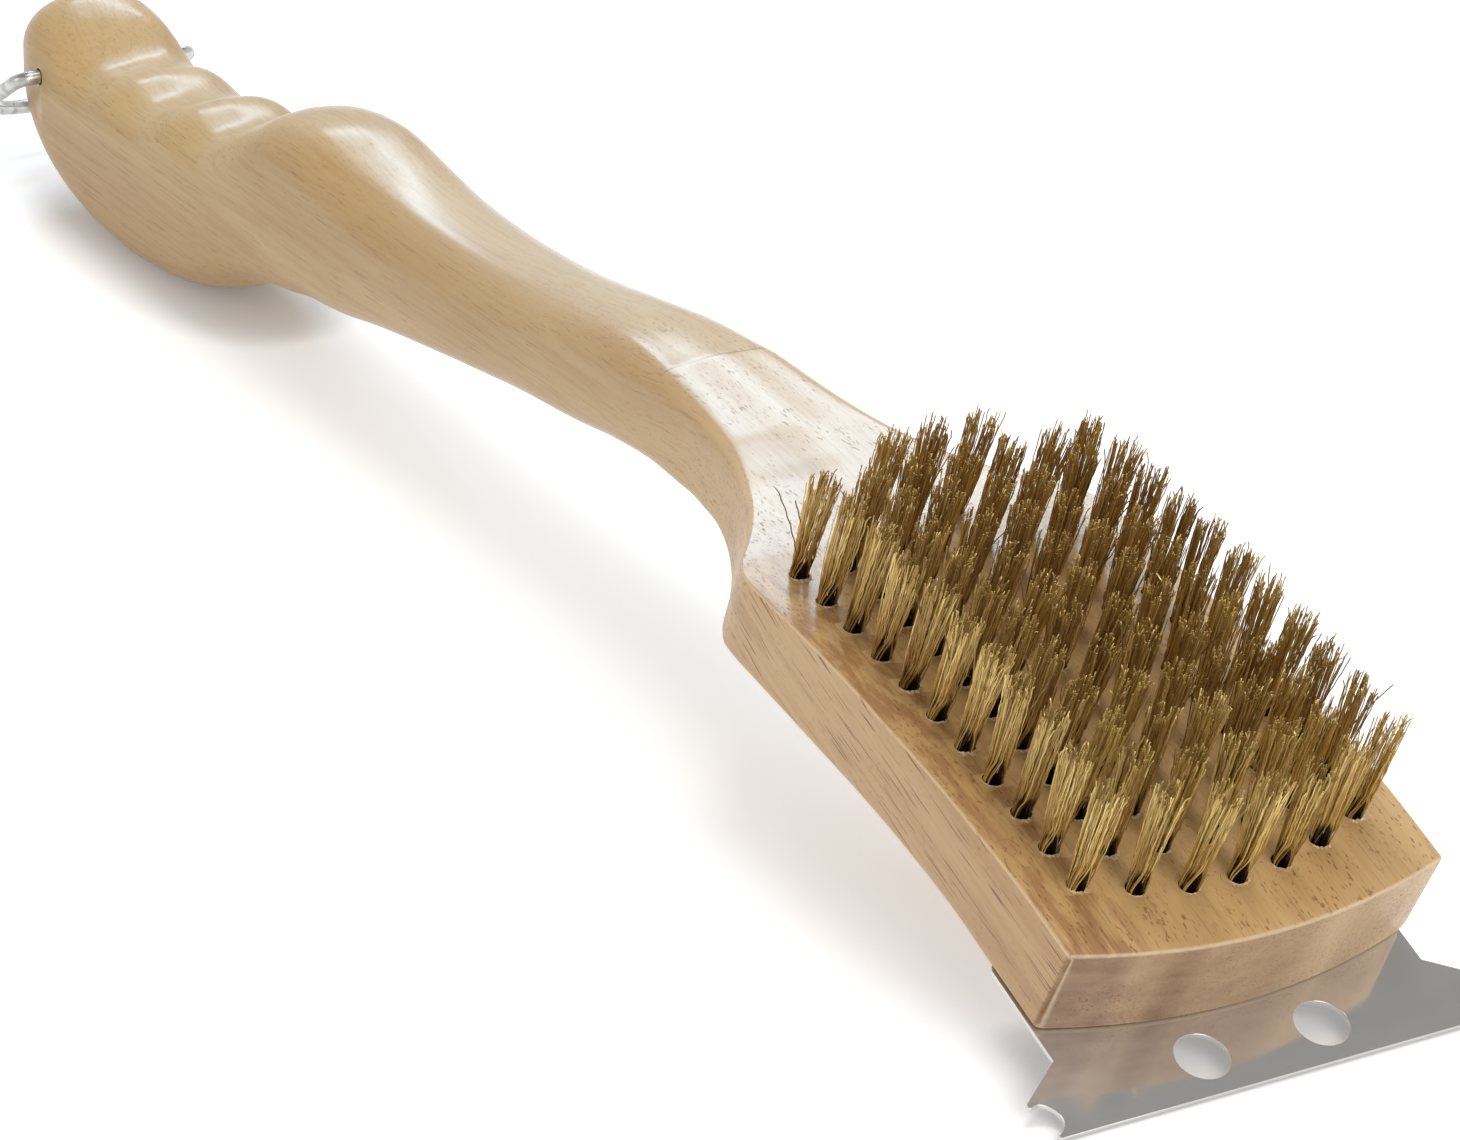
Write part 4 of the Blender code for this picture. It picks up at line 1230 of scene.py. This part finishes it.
def add_world():
    """World that shows white behind the object and lights it softly."""
    world = bpy.data.worlds.new("studio")
    bpy.context.scene.world = world
    n = Nodes(world, bare=True)
    seen = n.seen_by("Is Camera Ray", "Is Glossy Ray", "Is Transmission Ray")
    sight = n.add("ShaderNodeTexCoord").outputs["Generated"]
    ceiling = n.ramp(n.axes(sight)[2], *CEILING_HEIGHTS, *CEILING_GLOW)
    level = n.add("ShaderNodeMapRange", {"Value": seen, "To Min": AMBIENT, "To Max": ceiling})
    background = n.add("ShaderNodeBackground", {"Strength": level.outputs[0]})
    n.add("ShaderNodeOutputWorld", {"Surface": background.outputs[0]})


def add_lamp(name, place, target, width, height, watts, colour):
    """Soft rectangular lamp that faces a target."""
    light = bpy.data.lights.new(name, "AREA")
    light.shape = "RECTANGLE"
    light.size = width
    light.size_y = height
    light.energy = watts
    light.color = colour
    lamp = new_object(name, light)
    lamp.location = place
    aim = Vector(target) - Vector(place)
    lamp.rotation_euler = aim.to_track_quat("-Z", "Y").to_euler()


def add_camera():
    """Camera at the photograph's place and angle."""
    data = bpy.data.cameras.new("camera")
    data.sensor_width = CAMERA_SENSOR
    data.lens = CAMERA_LENS
    data.clip_end = CAMERA_FAR
    camera = new_object("camera", data)
    turn = Euler([math.radians(a) for a in CAMERA_TURNS]).to_matrix().to_4x4()
    camera.matrix_world = Matrix.Translation(CAMERA_PLACE) @ turn
    bpy.context.scene.camera = camera


def build():
    """All pieces, the floor, the light and the camera."""
    wood = wood_material()
    hole_shade = shaded_hole_material()
    wire = wire_material()
    steel = blade_material()
    bail_look = plated_material("plated_wire", srgb(206, 204, 200), srgb(168, 165, 160))
    screw_look = plated_material("plated_screw", srgb(202, 202, 204), srgb(160, 160, 164))
    piece("wood_body", wood_mesh(wood, hole_shade), [], "brush", ["handle"])
    piece("splintered_rims", rim_mesh(), [rim_material()], "brush", [])
    for row in range(FULL_ROWS + 1):
        name = "tufts_%02d" % (row + 1)
        piece(name, tuft_row_mesh(row), [wire], "brush",
              ["bristle_row_%02d" % (row + 1)])
    piece("blade", blade_mesh(), [steel], "brush", ["scraper"])
    for number, x in enumerate(even_places(SCREW_COUNT, SCREW_SPACING), 1):
        piece("screw_%d" % number, screw_mesh(number, x), [screw_look], "brush",
              ["scraper_screw_%d" % number])
    piece("bail_wire", bail_mesh(), [bail_look], "bail", ["hanging_bail"])
    add_floor()
    add_world()
    for lamp in LAMPS:
        add_lamp(*lamp)
    bpy.context.scene.view_settings.view_transform = "Standard"
    add_camera()


build()
